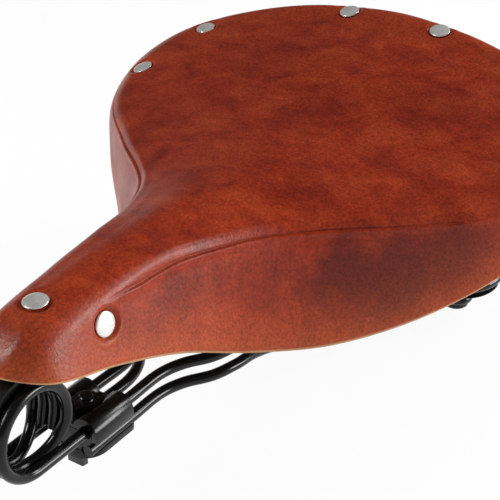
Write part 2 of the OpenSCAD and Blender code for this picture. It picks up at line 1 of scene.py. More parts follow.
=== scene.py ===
"""Looks of a sprung leather bicycle saddle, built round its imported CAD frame."""

import math

import bmesh
import bpy
import numpy as np
from mathutils import Matrix, Vector, noise
from mathutils.kdtree import KDTree


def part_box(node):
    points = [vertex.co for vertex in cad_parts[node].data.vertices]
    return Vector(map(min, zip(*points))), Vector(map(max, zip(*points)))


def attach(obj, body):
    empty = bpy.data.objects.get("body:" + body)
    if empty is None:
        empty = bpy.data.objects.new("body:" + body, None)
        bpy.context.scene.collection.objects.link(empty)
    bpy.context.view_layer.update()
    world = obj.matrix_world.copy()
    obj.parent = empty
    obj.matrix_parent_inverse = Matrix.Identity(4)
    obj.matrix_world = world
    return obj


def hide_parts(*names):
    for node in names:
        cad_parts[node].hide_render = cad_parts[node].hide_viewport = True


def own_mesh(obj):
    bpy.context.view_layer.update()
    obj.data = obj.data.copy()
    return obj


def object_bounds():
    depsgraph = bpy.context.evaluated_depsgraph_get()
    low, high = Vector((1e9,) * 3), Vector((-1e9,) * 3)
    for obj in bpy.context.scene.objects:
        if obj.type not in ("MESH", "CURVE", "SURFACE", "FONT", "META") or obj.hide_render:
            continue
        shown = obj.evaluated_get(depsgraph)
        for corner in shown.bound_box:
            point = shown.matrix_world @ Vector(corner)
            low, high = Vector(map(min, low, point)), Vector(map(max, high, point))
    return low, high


bl_info = {
    "name": "Sprung leather saddle",
    "version": (1, 0, 0),
    "blender": (4, 5, 0),
    "location": "View3D > Sidebar > Saddle",
    "description": "Dresses the saddle frame with leather, wire, rivets and clamp",
    "category": "Add Mesh",
}

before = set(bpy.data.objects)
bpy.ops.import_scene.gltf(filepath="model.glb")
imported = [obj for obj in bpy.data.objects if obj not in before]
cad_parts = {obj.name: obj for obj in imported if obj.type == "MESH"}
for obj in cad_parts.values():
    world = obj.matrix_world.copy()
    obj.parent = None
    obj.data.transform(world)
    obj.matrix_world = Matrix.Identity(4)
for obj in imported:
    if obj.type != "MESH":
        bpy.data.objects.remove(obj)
cad_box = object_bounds()
MM = 0.001

# ---- outline of the leather
SPINE = [
    (0, -24, 78.5), (0, -19, 79), (0, -2, 80), (0, 24, 80.5), (0, 50, 80), (0, 76, 79.5),
    (0, 102, 80), (0, 130, 82), (0, 157, 86), (0, 177, 91), (0, 192, 95), (0, 200, 97.5),
    (0, 203, 98.5),
]
CREASE = [
    (0, -42, 67), (11, -33.5, 71), (13, -4, 75), (15, 28, 76), (24, 58, 71), (42, 88, 66),
    (71, 114, 67), (97, 141, 70), (106, 174, 78), (98, 203, 86), (75, 222, 93),
    (41, 231, 100), (0, 235, 103),
]
SKIRT = [
    (0, -46, 62), (17, -34, 58), (20, -3, 49), (24, 28, 38), (35, 57, 26), (54, 87, 20),
    (78, 116, 26), (103, 143, 44), (116, 173, 63), (106, 205, 78), (79, 226, 83),
    (42, 236, 87), (0, 240, 90),
]
LEATHER_L = 286.0
NOSE_REACH = 46.0
CREASE_ROUND, TOP_SHARE, FLAP_SHARE, CROWN_SHARE = 8.0, 0.72, 0.82, 0.3
# A place on the hide is (u, v): u from the nose to the rear, v from the spine down a rib to the flap's edge
RIB_END = 6.0
CREASE_V = 3.5
# The v of the tooled line at places u
LINE_U = [0.1, 0.19, 0.215, 0.244, 0.27, 0.3, 0.32, 0.35, 0.375, 0.41, 0.45, 0.49, 0.54, 0.62]
LINE_V = [3.5, 4.4, 4.6, 4.5, 4.25, 3.95, 3.75, 3.5, 3.38, 3.3, 3.32, 3.5, 3.62, 3.5]
NOSE_RIVETS = [(0.063, 0.0, 1), (0.165, 5.15, 1), (0.165, 5.15, -1)]
CANTLE_RIVETS = [(u, v, s) for s in (1, -1) for u, v in ((0.943, 2.3), (0.757, 2.45), (0.645, 2.7))]
# Sizes that several pieces share, in millimetres
GAP = 0.3
BOLT_R, HEX_ACROSS, FACE_SHARE = 3, 10, 0.96
WIRE_SIDES = 20


def placed(table):
    """A table of points, scaled as the CAD source scales it."""
    low = min(p[1] for p in SKIRT)
    long = LEATHER_L / (max(p[1] for p in SKIRT) - low)
    return np.array([(x, (y - low) * long - NOSE_REACH, z) for x, y, z in table], float)


LINES = [placed(t) for t in (SPINE, CREASE, SKIRT)]
FLIP = np.array((-1.0, 1.0, 1.0))


def catmull(a, b, c, d, t):
    """A point between b and c at the share t."""
    return 0.5 * (2 * b + (c - a) * t + (2 * a - 5 * b + 4 * c - d) * t * t + (3 * b - a - 3 * c + d) * t ** 3)


def along(line, u):
    """Points at the shares u of a line that mirrors itself at both ends."""
    last = len(line) - 1
    padded = np.vstack((line[1] * FLIP, line, line[last - 1] * FLIP))
    s = np.clip(np.asarray(u, float), 0, 1) * last
    i = np.minimum(s.astype(int), last - 1)
    t = (s - i)[..., None]
    return catmull(padded[i], padded[i + 1], padded[i + 2], padded[i + 3], t)


def unit(p):
    return p / np.maximum(np.linalg.norm(p, axis=-1, keepdims=True), 1e-12)


def ribs(u):
    """Control points of the ribs at u, from the spine over the crease to the flap's lower edge."""
    top, edge, low = (along(line, u) for line in LINES)
    a = (top + edge) / 2
    a[..., 2] = top[..., 2] + (edge[..., 2] - top[..., 2]) * CROWN_SHARE
    inward, down = unit(a - edge), unit(low - edge)
    half = np.linalg.norm(inward - down, axis=-1, keepdims=True) / 2
    room = np.minimum(
        np.linalg.norm(a - edge, axis=-1, keepdims=True) * TOP_SHARE,
        np.linalg.norm(low - edge, axis=-1, keepdims=True) * FLAP_SHARE,
    )
    step = np.minimum(CREASE_ROUND, room / (1 + 0.5 / half))
    near = step / (2 * half)
    corner = edge - (inward + down) * (near / 2 + step / 48)
    start = (6 * top - 2 * a) / 4
    start[..., 0] = 0
    last = corner + down * (near + step)
    return np.stack(
        (a * FLIP, start, a, corner + inward * (near + step), corner + inward * near, corner + down * near,
         last, low, 2 * low - last), axis=-2,
    )


def spline(q, v):
    """Points at v on cubic B-splines with control points q."""
    v = np.broadcast_to(np.asarray(v, float), q.shape[:-2])
    i = np.minimum(v.astype(int), q.shape[-2] - 4)
    t = (v - i)[..., None]
    a, b, c, d = (np.take_along_axis(q, (i + k)[..., None, None], axis=-2)[..., 0, :] for k in range(4))
    return (
        a * (1 - t) ** 3 + b * (3 * t ** 3 - 6 * t * t + 4)
        + c * (-3 * t ** 3 + 3 * t * t + 3 * t + 1) + d * t ** 3
    ) / 6


def hide_grid(us, vs):
    """Points and outward normals of the leather's outer face, as arrays [u, v, xyz].
    Each of the vs is a number, or an array with one number for each u."""
    us = np.asarray(us, float)
    small = 0.004
    q, ahead, behind = ribs(us), ribs(np.minimum(us + small, 1)), ribs(np.maximum(us - small, 0))
    points, normals = [], []
    ends = (us <= 0) | (us >= 1)
    for v in vs:
        p = spline(q, v)
        spine = np.all(np.asarray(v) == 0)
        if spine:
            across = np.tile((1.0, 0, 0), (len(us), 1))
        else:
            across = spline(q, np.minimum(v + small, RIB_END)) - spline(q, np.maximum(v - small, 0))
        step = spline(ahead, v) - spline(behind, v)
        if not spine:
            step[ends] = np.where((us[ends] <= 0)[:, None], (1.0, 0, 0), (-1.0, 0, 0))
        points.append(p)
        normals.append(unit(np.cross(across, step)))
    return np.stack(points, axis=1), np.stack(normals, axis=1)


def on_hide(place):
    """Point and outward normal at a rivet's place."""
    u, v, side = place
    p, n = hide_grid([u], [v])
    flip = np.array((side, 1.0, 1.0))
    return p[0, 0] * flip, n[0, 0] * flip


# ---- nodes and materials
def feed(tree, socket, value):
    """Links another node's output to a socket, or sets the socket's own value."""
    if isinstance(value, bpy.types.NodeSocket):
        tree.links.new(value, socket)
    else:
        socket.default_value = value


def add_node(tree, kind, inputs=None, **settings):
    """Adds a node. Each input is a value, or the socket that feeds it."""
    made = tree.nodes.new(kind)
    for key, value in settings.items():
        setattr(made, key, value)
    for key, value in (inputs or {}).items():
        feed(tree, made.inputs[key], value)
    return made


def scaled(colour, factor, lift=0.0):
    """A lighter or darker colour."""
    return tuple(min(1.0, c * factor + lift) for c in colour)


class Shader:
    """A small helper that adds nodes to one material. Scales are counts per metre."""

    def __init__(self, name):
        self.material = bpy.data.materials.new(name)
        self.material.use_nodes = True
        self.tree = self.material.node_tree
        self.place = self.add("ShaderNodeTexCoord").outputs["Object"]

    def add(self, kind, inputs=None, **settings):
        return add_node(self.tree, kind, inputs, **settings)

    def noise(self, scale, detail=3.0, roughness=0.5, vector=None, distortion=0.0):
        return self.add(
            "ShaderNodeTexNoise",
            {"Vector": vector or self.place, "Scale": scale, "Detail": detail, "Roughness": roughness,
             "Distortion": distortion},
        ).outputs["Fac"]

    def mapped(self, **inputs):
        """The place on the object, turned or stretched."""
        return self.add("ShaderNodeMapping", {"Vector": self.place, **inputs}).outputs["Vector"]

    def ramp(self, factor, stops):
        made = self.add("ShaderNodeValToRGB", {"Fac": factor})
        elements = made.color_ramp.elements
        while len(elements) < len(stops):
            elements.new(0.5)
        for element, (position, colour) in zip(elements, stops):
            element.position = position
            element.color = (*colour, 1.0)
        return made.outputs["Color"]

    def span(self, value, low, high, to_low, to_high):
        return self.add(
            "ShaderNodeMapRange",
            {"Value": value, "From Min": low, "From Max": high, "To Min": to_low, "To Max": to_high},
        ).outputs["Result"]

    def mix(self, factor, a, b, blend="MIX"):
        a, b = ((*c, 1.0) if isinstance(c, tuple) else c for c in (a, b))
        return self.add("ShaderNodeMix", {0: factor, 6: a, 7: b}, data_type="RGBA", blend_type=blend).outputs[2]

    def math(self, operation, a, b=0.0):
        return self.add("ShaderNodeMath", {0: a, 1: b}, operation=operation).outputs[0]

    def vector(self, operation, a, b, output="Vector"):
        second = "Scale" if operation == "SCALE" else 1
        return self.add("ShaderNodeVectorMath", {0: a, second: b}, operation=operation).outputs[output]

    def attribute(self, name):
        return self.add("ShaderNodeAttribute", attribute_name=name).outputs["Fac"]

    def bump(self, height, distance, strength=1.0, normal=None):
        inputs = {"Height": height, "Distance": distance, "Strength": strength}
        if normal is not None:
            inputs["Normal"] = normal
        return self.add("ShaderNodeBump", inputs).outputs["Normal"]

    def finish(self, **sockets):
        for key, value in sockets.items():
            feed(self.tree, self.tree.nodes["Principled BSDF"].inputs[key.replace("_", " ")], value)
        return self.material


# Darker places of the hide: centre and reach in metres, and how dark. Most are dark patches in the leather; the
# one at the nose front is painted shade. The core is even, and the rest fades
DARK_CORE = 0.45
DARK_PLACES = [
    ((0.052, 0.093, 0.048), 0.023, 1.00), ((0.069, 0.106, 0.044), 0.027, 1.00),
    ((0.083, 0.122, 0.053), 0.023, 0.85), ((-0.038, 0.177, 0.088), 0.026, 0.28),
    ((0.003, 0.150, 0.085), 0.022, 0.35), ((0.045, 0.179, 0.088), 0.028, 0.35),
    ((0.033, 0.096, 0.074), 0.015, 0.35), ((-0.085, 0.137, 0.074), 0.018, 0.22),
    # the second place in this row, at the nose front, is painted shade
    ((0.092, 0.150, 0.074), 0.016, 0.25), ((0.011, -0.038, 0.067), 0.018, 0.55),
    ((0.015, 0.010, 0.058), 0.012, 0.30), ((-0.060, 0.115, 0.068), 0.018, 0.30),
    ((0.020, 0.030, 0.059), 0.012, 0.50), ((0.019, 0.016, 0.057), 0.010, 0.40),
    ((0.033, 0.066, 0.052), 0.014, 0.35), ((0.026, 0.048, 0.058), 0.010, 0.35),
]


def tanned_leather(colours):
    """Waxed leather: streaky clouds, fine specks and pores, darker in places and warmer at its cut edge, with
    painted shade at the nose front and in the tooled line.
    """
    s = Shader("tanned_leather")
    dark, middle, warm = tuple(colours.dark), tuple(colours.middle), tuple(colours.warm)
    streaks = s.mapped(Rotation=(0.0, 0.0, math.radians(-38)), Scale=(0.8, 1.2, 1.0))
    base = s.ramp(s.noise(70.0, 8.0, 0.66, streaks, 0.4), [(0.2, dark), (0.47, middle), (0.72, warm)])
    # the dark patches, and the painted shade at the nose front, with an uneven outline; shade is the mask of
    # both
    warp = s.add("ShaderNodeTexNoise", {"Vector": s.place, "Scale": 60.0, "Detail": 4.0}).outputs["Color"]
    warp = s.vector("SCALE", s.vector("SUBTRACT", warp, (0.5, 0.5, 0.5)), 0.035)
    warped = s.vector("ADD", s.place, warp)
    shade = 0.0
    for centre, reach, depth in DARK_PLACES:
        away = s.vector("DISTANCE", warped, centre, "Value")
        shade = s.math("MAXIMUM", shade, s.span(away, reach * DARK_CORE, reach, depth, 0.0))
    base = s.mix(shade, base, dark)
    base = s.mix(s.span(s.noise(320.0, 4.0, 0.7), 0.5, 0.74, 0.0, 0.22), base, dark)
    # warmer toward the cut edge, painted shade in the tooled line, and raw at the edge itself
    near_edge = s.attribute("flap_edge")
    base = s.mix(s.math("MULTIPLY", near_edge, 0.6), base, tuple(colours.edge_glow))
    base = s.mix(s.math("MULTIPLY", s.attribute("groove"), 0.55), base, scaled(dark, 0.4))
    base = s.mix(1.0, base, s.span(s.noise(900.0, 3.0, 0.8), 0.3, 0.7, 0.56, 1.44), "MULTIPLY")
    base = s.mix(s.span(near_edge, 0.925, 0.965, 0.0, 0.9), base, tuple(colours.raw))
    # grain and pores
    fine = s.math("MULTIPLY", s.noise(1500.0, 2.0, 0.6), 0.6)
    pores = s.add("ShaderNodeTexVoronoi", {"Vector": s.place, "Scale": 700.0}).outputs["Distance"]
    soft = s.bump(s.noise(90.0, 2.0), 0.0006, 0.06)
    normal = s.bump(s.math("ADD", fine, s.math("MULTIPLY", pores, 0.6)), 0.0002, 0.42, soft)
    rough = s.math("ADD", s.span(s.noise(55.0, 3.0), 0.3, 0.7, 0.31, 0.41), s.math("MULTIPLY", shade, -0.08))
    return s.finish(Base_Color=base, Roughness=rough, Normal=normal, Specular_IOR_Level=0.215)


def raw_edge(colours):
    """The cut edge of the hide: pale fibres in fine layers."""
    s = Shader("raw_leather_edge")
    fibres = s.noise(700.0, 4.0, 0.7)
    base = s.ramp(fibres, [(0.3, scaled(colours.raw, 0.5)), (0.65, tuple(colours.raw))])
    return s.finish(Base_Color=base, Roughness=0.85, Normal=s.bump(fibres, 0.0004, 0.6))


def flesh_side(colours):
    """The unfinished underside of the hide: suede, with a short nap."""
    s = Shader("leather_flesh_side")
    nap = s.noise(450.0, 5.0, 0.75)
    base = s.mix(s.span(nap, 0.3, 0.7, 0.0, 1.0), scaled(colours.flesh, 0.55), tuple(colours.flesh))
    base = s.mix(s.span(s.noise(30.0, 3.0), 0.45, 0.7, 0.0, 0.5), base, scaled(colours.flesh, 0.5))
    return s.finish(Base_Color=base, Roughness=0.93, Normal=s.bump(nap, 0.0005, 0.7))


def black_enamel(name, colour, rough, speck=0.0):
    """Black paint on metal, with faint orange peel and dust."""
    s = Shader(name)
    dust = s.span(s.noise(260.0, 4.0, 0.7), 0.5, 0.8, 0.0, 0.2 + speck)
    base = s.mix(dust, tuple(colour), scaled(colour, 2.0, 0.004))
    roughness = s.span(s.noise(90.0, 3.0), 0.3, 0.7, rough - 0.05, rough + 0.08)
    peel = s.bump(s.noise(420.0, 2.0), 0.0001, 0.2)
    return s.finish(Base_Color=base, Roughness=roughness, Normal=peel, Specular_IOR_Level=0.3)


def polished_steel(name, colour, rough, metallic=1.0):
    """Steel with fine scratches and a little tarnish."""
    s = Shader(name)
    scratches = s.noise(900.0, 2.0, 0.5, s.mapped(Scale=(1.0, 0.15, 1.0)))
    tarnish = s.span(s.noise(240.0, 4.0), 0.45, 0.75, 0.0, 0.5)
    base = s.mix(tarnish, tuple(colour), scaled(colour, 0.62))
    roughness = s.span(scratches, 0.3, 0.7, rough - 0.05, rough + 0.1)
    return s.finish(
        Base_Color=base, Metallic=metallic, Roughness=roughness, Normal=s.bump(scratches, 0.00006, 0.4)
    )


MADE = {}


def material_for(key):
    """A finish's material, made on its first use."""
    hide, metal = bpy.context.scene.saddle_leather, bpy.context.scene.saddle_metal
    builders = {
        "leather": lambda: tanned_leather(hide),
        "edge": lambda: raw_edge(hide),
        "flesh": lambda: flesh_side(hide),
        "wire": lambda: black_enamel("black_wire_enamel", metal.wire_colour, metal.wire_rough),
        "plate": lambda: black_enamel("black_plate_enamel", metal.plate_colour, 0.36, 0.05),
        # the clamp's paint is the plates' paint at 0.6 of its colour: painted shade for the clamp under the
        # nose
        "clamp": lambda: black_enamel("clamp_enamel", scaled(metal.plate_colour, 0.6), 0.22),
        "rivet": lambda: polished_steel("rivet_steel", metal.rivet_colour, 0.26, 0.6),
        "zinc": lambda: polished_steel("zinc_plated_steel", metal.bolt_colour, 0.36),
    }
    if key not in MADE:
        MADE[key] = builders[key]()
    return MADE[key]


# ---- making pieces
def linked(name, data):
    """A new object in the scene."""
    made = bpy.data.objects.new(name, data)
    bpy.context.scene.collection.objects.link(made)
    return made


def mesh_of(name, points, faces):
    """A mesh in metres from points in millimetres."""
    mesh = bpy.data.meshes.new(name)
    mesh.from_pydata([tuple(c * MM for c in p) for p in points], [], faces)
    return mesh


def declare(piece, body, replaces=()):
    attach(piece, body)
    if replaces:
        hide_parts(*replaces)
    return piece


def add_piece(name, shape, body, slot, replaces=(), kinds=None):
    """A piece from (points, faces) in millimetres. Kinds say which faces of the hide are outer, cut edge or
    flesh side. The other pieces are metal, with one finish."""
    mesh = mesh_of(name, *shape)
    mesh.shade_smooth()
    for key in (slot,) if kinds is None else ("leather", "edge", "flesh"):
        mesh.materials.append(material_for(key))
    if kinds is None:
        sharpen(mesh)
    else:
        mesh.polygons.foreach_set("material_index", kinds)
        mesh.update()
    return declare(linked(name, mesh), body, replaces)


def start_of(node, axis=2):
    """Where a CAD node's box starts along an axis, in millimetres."""
    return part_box(node)[0][axis] / MM


def end_of(node, axis=2):
    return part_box(node)[1][axis] / MM


def sharpen(mesh, angle=32):
    """Keeps edges that turn more than the angle, in degrees, crisp on a smooth-shaded mesh."""
    work = bmesh.new()
    work.from_mesh(mesh)
    for edge in work.edges:
        edge.smooth = len(edge.link_faces) == 2 and edge.calc_face_angle(0) < math.radians(angle)
    for face in work.faces:
        face.smooth = True
    work.to_mesh(mesh)
    work.free()


def lathe(profile, sides=48, centre=(0, 0, 0), axis=(0, 0, 1)):
    """Points and faces of a profile [(radius, height), ...] turned about an axis. It closes on the axis."""
    z = Vector(axis).normalized()
    x = z.orthogonal().normalized()
    y = z.cross(x)
    points, faces, rings = [], [], []
    for r, h in profile:
        if r <= 0:
            rings.append([len(points)])
            points.append(Vector(centre) + z * h)
        else:
            rings.append(list(range(len(points), len(points) + sides)))
            for k in range(sides):
                a = 2 * math.pi * k / sides
                points.append(Vector(centre) + z * h + (x * math.cos(a) + y * math.sin(a)) * r)
    for lower, upper in zip(rings, rings[1:]):
        for k in range(sides):
            a, b = lower[k % len(lower)], lower[(k + 1) % len(lower)]
            c, d = upper[(k + 1) % len(upper)], upper[k % len(upper)]
            faces.append(tuple(dict.fromkeys((a, b, c, d))))
    return points, faces


def joined(*parts):
    """Several (points, faces) lists as one."""
    points, faces = [], []
    for more_points, more_faces in parts:
        base = len(points)
        points += list(more_points)
        faces += [tuple(i + base for i in f) for f in more_faces]
    return points, faces


def moved(part, offset, turn=None):
    points, faces = part
    turn = turn or Matrix.Identity(3)
    return [turn @ Vector(p) + Vector(offset) for p in points], faces


def hexagon(height, bore=0.0, sides=72):
    """A hexagonal head on z = 0, chamfered at its top. With a bore it is a nut, chamfered at both faces."""
    flat, lift = HEX_ACROSS / 2, 0.04
    angles = [2 * math.pi * k / sides for k in range(sides)]
    corners = [flat / math.cos(math.radians((math.degrees(a) + 30) % 60 - 30)) for a in angles]
    slopes = [(c - flat) * math.tan(math.radians(30)) for c in corners]
    inner, rim = [max(bore, 0.001)] * sides, [flat * FACE_SHARE] * sides
    bottom, top = [0.0] * sides, [height] * sides
    rows = [
        (inner, bottom), (rim, bottom), (corners, [(s if bore else 0.0) + lift for s in slopes]),
        (corners, [height - s - lift for s in slopes]), (rim, top), (inner, top),
    ]
    points = [(r * math.cos(a), r * math.sin(a), z) for row in rows for a, r, z in zip(angles, *row)]
    faces, n = [], len(rows)
    for i in range(n if bore else n - 1):
        low, high = i * sides, (i + 1) % n * sides
        for k in range(sides):
            after = (k + 1) % sides
            faces.append((low + k, low + after, high + after, high + k))
    if not bore:
        faces += [tuple(reversed(range(sides))), tuple(range((n - 1) * sides, n * sides))]
    return points, faces


def threaded(low, high, depth=0.32, pitch=1.0, chamfer=0.7, lead=0.3):
    """Profile of a bolt's threaded end, from low to high."""
    profile = [(BOLT_R, low)]
    z = low + lead
    while z < high - chamfer:
        profile += [(BOLT_R, z), (BOLT_R - depth, z + pitch / 2)]
        z += pitch
    return profile + [(BOLT_R - depth, high - chamfer / 2), (BOLT_R - chamfer, high), (0, high)]


# ---- node trees
def new_tree(name, inputs):
    """A geometry node tree that takes a shape, the inputs and a finish, with its start and end nodes."""
    tree = bpy.data.node_groups.new(name, "GeometryNodeTree")
    tree.interface.new_socket("Geometry", in_out="INPUT", socket_type="NodeSocketGeometry")
    for label, kind, default in (*inputs, ("Finish", "NodeSocketMaterial", None)):
        socket = tree.interface.new_socket(label, in_out="INPUT", socket_type=kind)
        if default is not None:
            socket.default_value = default
    tree.interface.new_socket("Geometry", in_out="OUTPUT", socket_type="NodeSocketGeometry")
    return tree, tree.nodes.new("NodeGroupInput"), tree.nodes.new("NodeGroupOutput")


def close_tree(tree, start, end, shape):
    """Makes the tree's shape real, gives it the finish and sends it out."""
    real = add_node(tree, "GeometryNodeRealizeInstances", {"Geometry": shape})
    paint = add_node(tree, "GeometryNodeSetMaterial", {
        "Geometry": real.outputs["Geometry"], "Material": start.outputs["Finish"],
    })
    feed(tree, end.inputs["Geometry"], paint.outputs["Geometry"])
    return tree


def wire_tree():
    """A round wire along the curve that carries the modifier."""
    name = "wire_along_route"
    if name in bpy.data.node_groups:
        return bpy.data.node_groups[name]
    tree, start, end = new_tree(
        name, [("Diameter", "NodeSocketFloat", 0.0046), ("Sides", "NodeSocketInt", WIRE_SIDES)]
    )
    half = add_node(tree, "ShaderNodeMath", {0: start.outputs["Diameter"], 1: 0.5}, operation="MULTIPLY")
    circle = add_node(tree, "GeometryNodeCurvePrimitiveCircle", {
        "Radius": half.outputs[0], "Resolution": start.outputs["Sides"],
    })
    sweep = add_node(tree, "GeometryNodeCurveToMesh", {
        "Curve": start.outputs["Geometry"], "Profile Curve": circle.outputs["Curve"], "Fill Caps": True,
    })
    rounded = add_node(tree, "GeometryNodeSetShadeSmooth", {"Geometry": sweep.outputs["Mesh"]})
    return close_tree(tree, start, end, rounded.outputs["Geometry"])


def scatter_tree():
    """One fastener on each point, standing along the point's own axis."""
    name = "fasteners_on_points"
    if name in bpy.data.node_groups:
        return bpy.data.node_groups[name]
    tree, start, end = new_tree(
        name, [("Fastener", "NodeSocketObject", None), ("Scale", "NodeSocketFloat", 1.0)]
    )
    source = add_node(tree, "GeometryNodeObjectInfo", {"Object": start.outputs["Fastener"]})
    axis = add_node(tree, "GeometryNodeInputNamedAttribute", {"Name": "axis"}, data_type="FLOAT_VECTOR")
    turn = add_node(tree, "FunctionNodeAlignRotationToVector", {"Vector": axis.outputs["Attribute"]}, axis="Z")
    place = add_node(tree, "GeometryNodeInstanceOnPoints", {
        "Points": start.outputs["Geometry"], "Instance": source.outputs["Geometry"],
        "Rotation": turn.outputs["Rotation"], "Scale": start.outputs["Scale"],
    })
    return close_tree(tree, start, end, place.outputs["Instances"])


def run_tree(carrier, tree, values, name):
    """Runs a node tree on an object and returns the result as a plain mesh object."""
    modifier = carrier.modifiers.new("shape", "NODES")
    modifier.node_group = tree
    for item in tree.interface.items_tree:
        if item.item_type == "SOCKET" and item.in_out == "INPUT" and item.name in values:
            modifier[item.identifier] = values[item.name]
    bpy.context.view_layer.update()
    graph = bpy.context.evaluated_depsgraph_get()
    mesh = bpy.data.meshes.new_from_object(carrier.evaluated_get(graph), depsgraph=graph)
    mesh.name = name
    bpy.data.objects.remove(carrier)
    return linked(name, mesh)


def wire(name, route, diameter, replaces):
    """A wire of the frame along a route in millimetres."""
    curve = bpy.data.curves.new(name + "_route", "CURVE")
    curve.dimensions = "3D"
    run = curve.splines.new("POLY")
    run.points.add(len(route) - 1)
    for point, place in zip(run.points, route):
        point.co = (*(c * MM for c in place), 1)
    values = {"Diameter": diameter * MM, "Sides": WIRE_SIDES, "Finish": material_for("wire")}
    piece = run_tree(linked(name + "_route", curve), wire_tree(), values, name)
    sharpen(piece.data, 50)
    return declare(piece, "frame", replaces)


def fasteners(name, shape, places, body, slot, replaces):
    """Copies of one shape (points, faces) at places [(point, axis), ...]."""
    mesh = mesh_of(name + "_shape", *shape)
    sharpen(mesh)
    pattern = linked(name + "_shape", mesh)
    spots = mesh_of(name + "_places", [p for p, _ in places], [])
    axes = spots.attributes.new("axis", "FLOAT_VECTOR", "POINT")
    for i, (_, axis) in enumerate(places):
        axes.data[i].vector = axis
    values = {"Fastener": pattern, "Scale": 1.0, "Finish": material_for(slot)}
    piece = run_tree(linked(name + "_places", spots), scatter_tree(), values, name)
    bpy.data.objects.remove(pattern)
    return declare(piece, body, replaces)


def softened(node, width, body, slot):
    """A copy of a CAD node with its sharp edges rounded, standing for the node."""
    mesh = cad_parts[node].data.copy()
    mesh.name = node + "_rounded"
    piece = linked(node + "_rounded", mesh)
    work = bmesh.new()
    work.from_mesh(mesh)
    bmesh.ops.remove_doubles(work, verts=work.verts, dist=1e-6)
    bmesh.ops.dissolve_limit(work, angle_limit=math.radians(0.8), verts=work.verts, edges=work.edges)
    work.to_mesh(mesh)
    work.free()
    mesh.materials.clear()
    mesh.materials.append(material_for(slot))
    if "custom_normal" in mesh.attributes:
        mesh.attributes.remove(mesh.attributes["custom_normal"])
    bevel = piece.modifiers.new("round", "BEVEL")
    bevel.width = width * MM
    bevel.segments = 3
    bevel.limit_method = "ANGLE"
    bevel.angle_limit = math.radians(25)
    bevel.use_clamp_overlap = True
    graph = bpy.context.evaluated_depsgraph_get()
    done = bpy.data.meshes.new_from_object(piece.evaluated_get(graph), depsgraph=graph)
    piece.modifiers.clear()
    piece.data = done
    sharpen(done, 30)
    return declare(piece, body, (node,))


# ---- sizes and colours
def colour_property(name, note, value):
    return bpy.props.FloatVectorProperty(
        name=name, description=note, default=value, size=3, min=0.0, max=1.0, subtype="COLOR"
    )


def number_property(name, note, value, low=0.0, high=1.0):
    return bpy.props.FloatProperty(name=name, description=note, default=value, min=low, max=high)


def length_property(name, note, value, low, high):
    return number_property(name, note + ", in millimetres", value, low, high)


class SaddleLeather(bpy.types.PropertyGroup):
    """Sizes and colours of the leather."""

    thickness: length_property("Thickness", "Thickness of the leather", 4.2, 3.5, 4.4)
    dent: length_property("Rivet dent", "Depth of the dent round a rivet", 1.3, 0.0, 1.5)
    groove: length_property("Crease groove", "Depth of the tooled line along the crease", 0.28, 0.0, 1.0)
    waves: length_property("Waves", "Height of the leather's slow waves", 0.25, 0.0, 1.0)
    dark: colour_property("Dark patches", "Colour of the darkest patches", (0.098, 0.006, 0.003))
    middle: colour_property("Middle", "Main colour", (0.232, 0.0190, 0.0042))
    warm: colour_property("Warm", "Colour of the lightest clouds", (0.315, 0.038, 0.008))
    edge_glow: colour_property("Near the edge", "Colour toward the flap's lower edge", (0.420, 0.085, 0.026))
    raw: colour_property("Cut edge", "Colour of the raw cut edge", (0.560, 0.290, 0.130))
    flesh: colour_property("Flesh side", "Colour of the underside", (0.330, 0.190, 0.100))


class SaddleMetal(bpy.types.PropertyGroup):
    """Sizes and colours of the wire and the steel."""

    wire_d: length_property("Rail wire", "Diameter of the rails", 4.6, 4.0, 4.6)
    spring_wire_d: length_property("Spring wire", "Diameter of the spring wire", 5.0, 4.5, 5.4)
    rivet_d: length_property("Rivet head", "Diameter of a rivet's head", 9.2, 8.0, 10.0)
    rivet_h: length_property("Rivet rise", "Rise of a rivet's head", 1.2, 1.0, 2.5)
    wire_rough: number_property("Wire roughness", "Roughness of the wire's paint", 0.18, 0.05)
    wire_colour: colour_property("Wire", "Colour of the wire's paint", (0.0035, 0.0037, 0.0040))
    plate_colour: colour_property("Plates", "Colour of the plates' paint", (0.0045, 0.0047, 0.0050))
    rivet_colour: colour_property("Rivets", "Colour of the rivets' steel", (0.80, 0.78, 0.75))
    bolt_colour: colour_property("Bolts", "Colour of the plated bolts", (0.55, 0.55, 0.54))


class SaddleStage(bpy.types.PropertyGroup):
    """Floor and lights."""

    floor_colour: colour_property("Floor", "Colour of the floor", (0.9, 0.9, 0.9))
    floor_glow: number_property("Floor whiteness", "How far the shadows on the floor are lightened", 0.93)
    sky: number_property("Sky", "Strength of the even light", 0.52, 0, 3)
    dim: number_property("High sky", "Brightness of the background overhead", 0.09)
    back: number_property("Back light", "Power of the back right lamp", 6.0, 0, 200)
    right: number_property("Right light", "Power of the right lamp", 9.4, 0, 200)
    left: number_property("Left light", "Power of the front left lamp", 5.4, 0, 200)


# ---- leather
# Rows of points added near the crease: how far before and after it, and how far apart, in v
CREASE_ROWS = [(0.16, 0.3, 0.035), (0.03, 0.16, 0.0175)]
ROW_GAP = 0.012
# Rows between these v follow the tooled line; the inside of a shell has every third row
FOLLOW_FROM, FOLLOW_TO = 2.3, 5.6
INNER_STEP = 3
# How strong the tooled line, its painted shade and the ridge are at places u along the hide
TOOLED = ([0.17, 0.21, 0.45, 0.62], [0.0, 1.0, 1.0, 0.0])
LINE_SHADE = ([0.36, 0.44, 0.50, 0.60], [0.4, 1.0, 1.0, 0.0])
RIDGED = ([0.17, 0.25, 0.42, 0.52], [0.0, 1.0, 1.0, 0.0])
# Heights, places across the crease and widths, in millimetres
GROOVE_W = 0.4
LIP_H, LIP_AT, LIP_W_ABOVE, LIP_W_BELOW = 0.75, 1.15, 0.55, 1.9
RIDGE_H, RIDGE_AT, RIDGE_W = 0.8, -4.5, 3.0
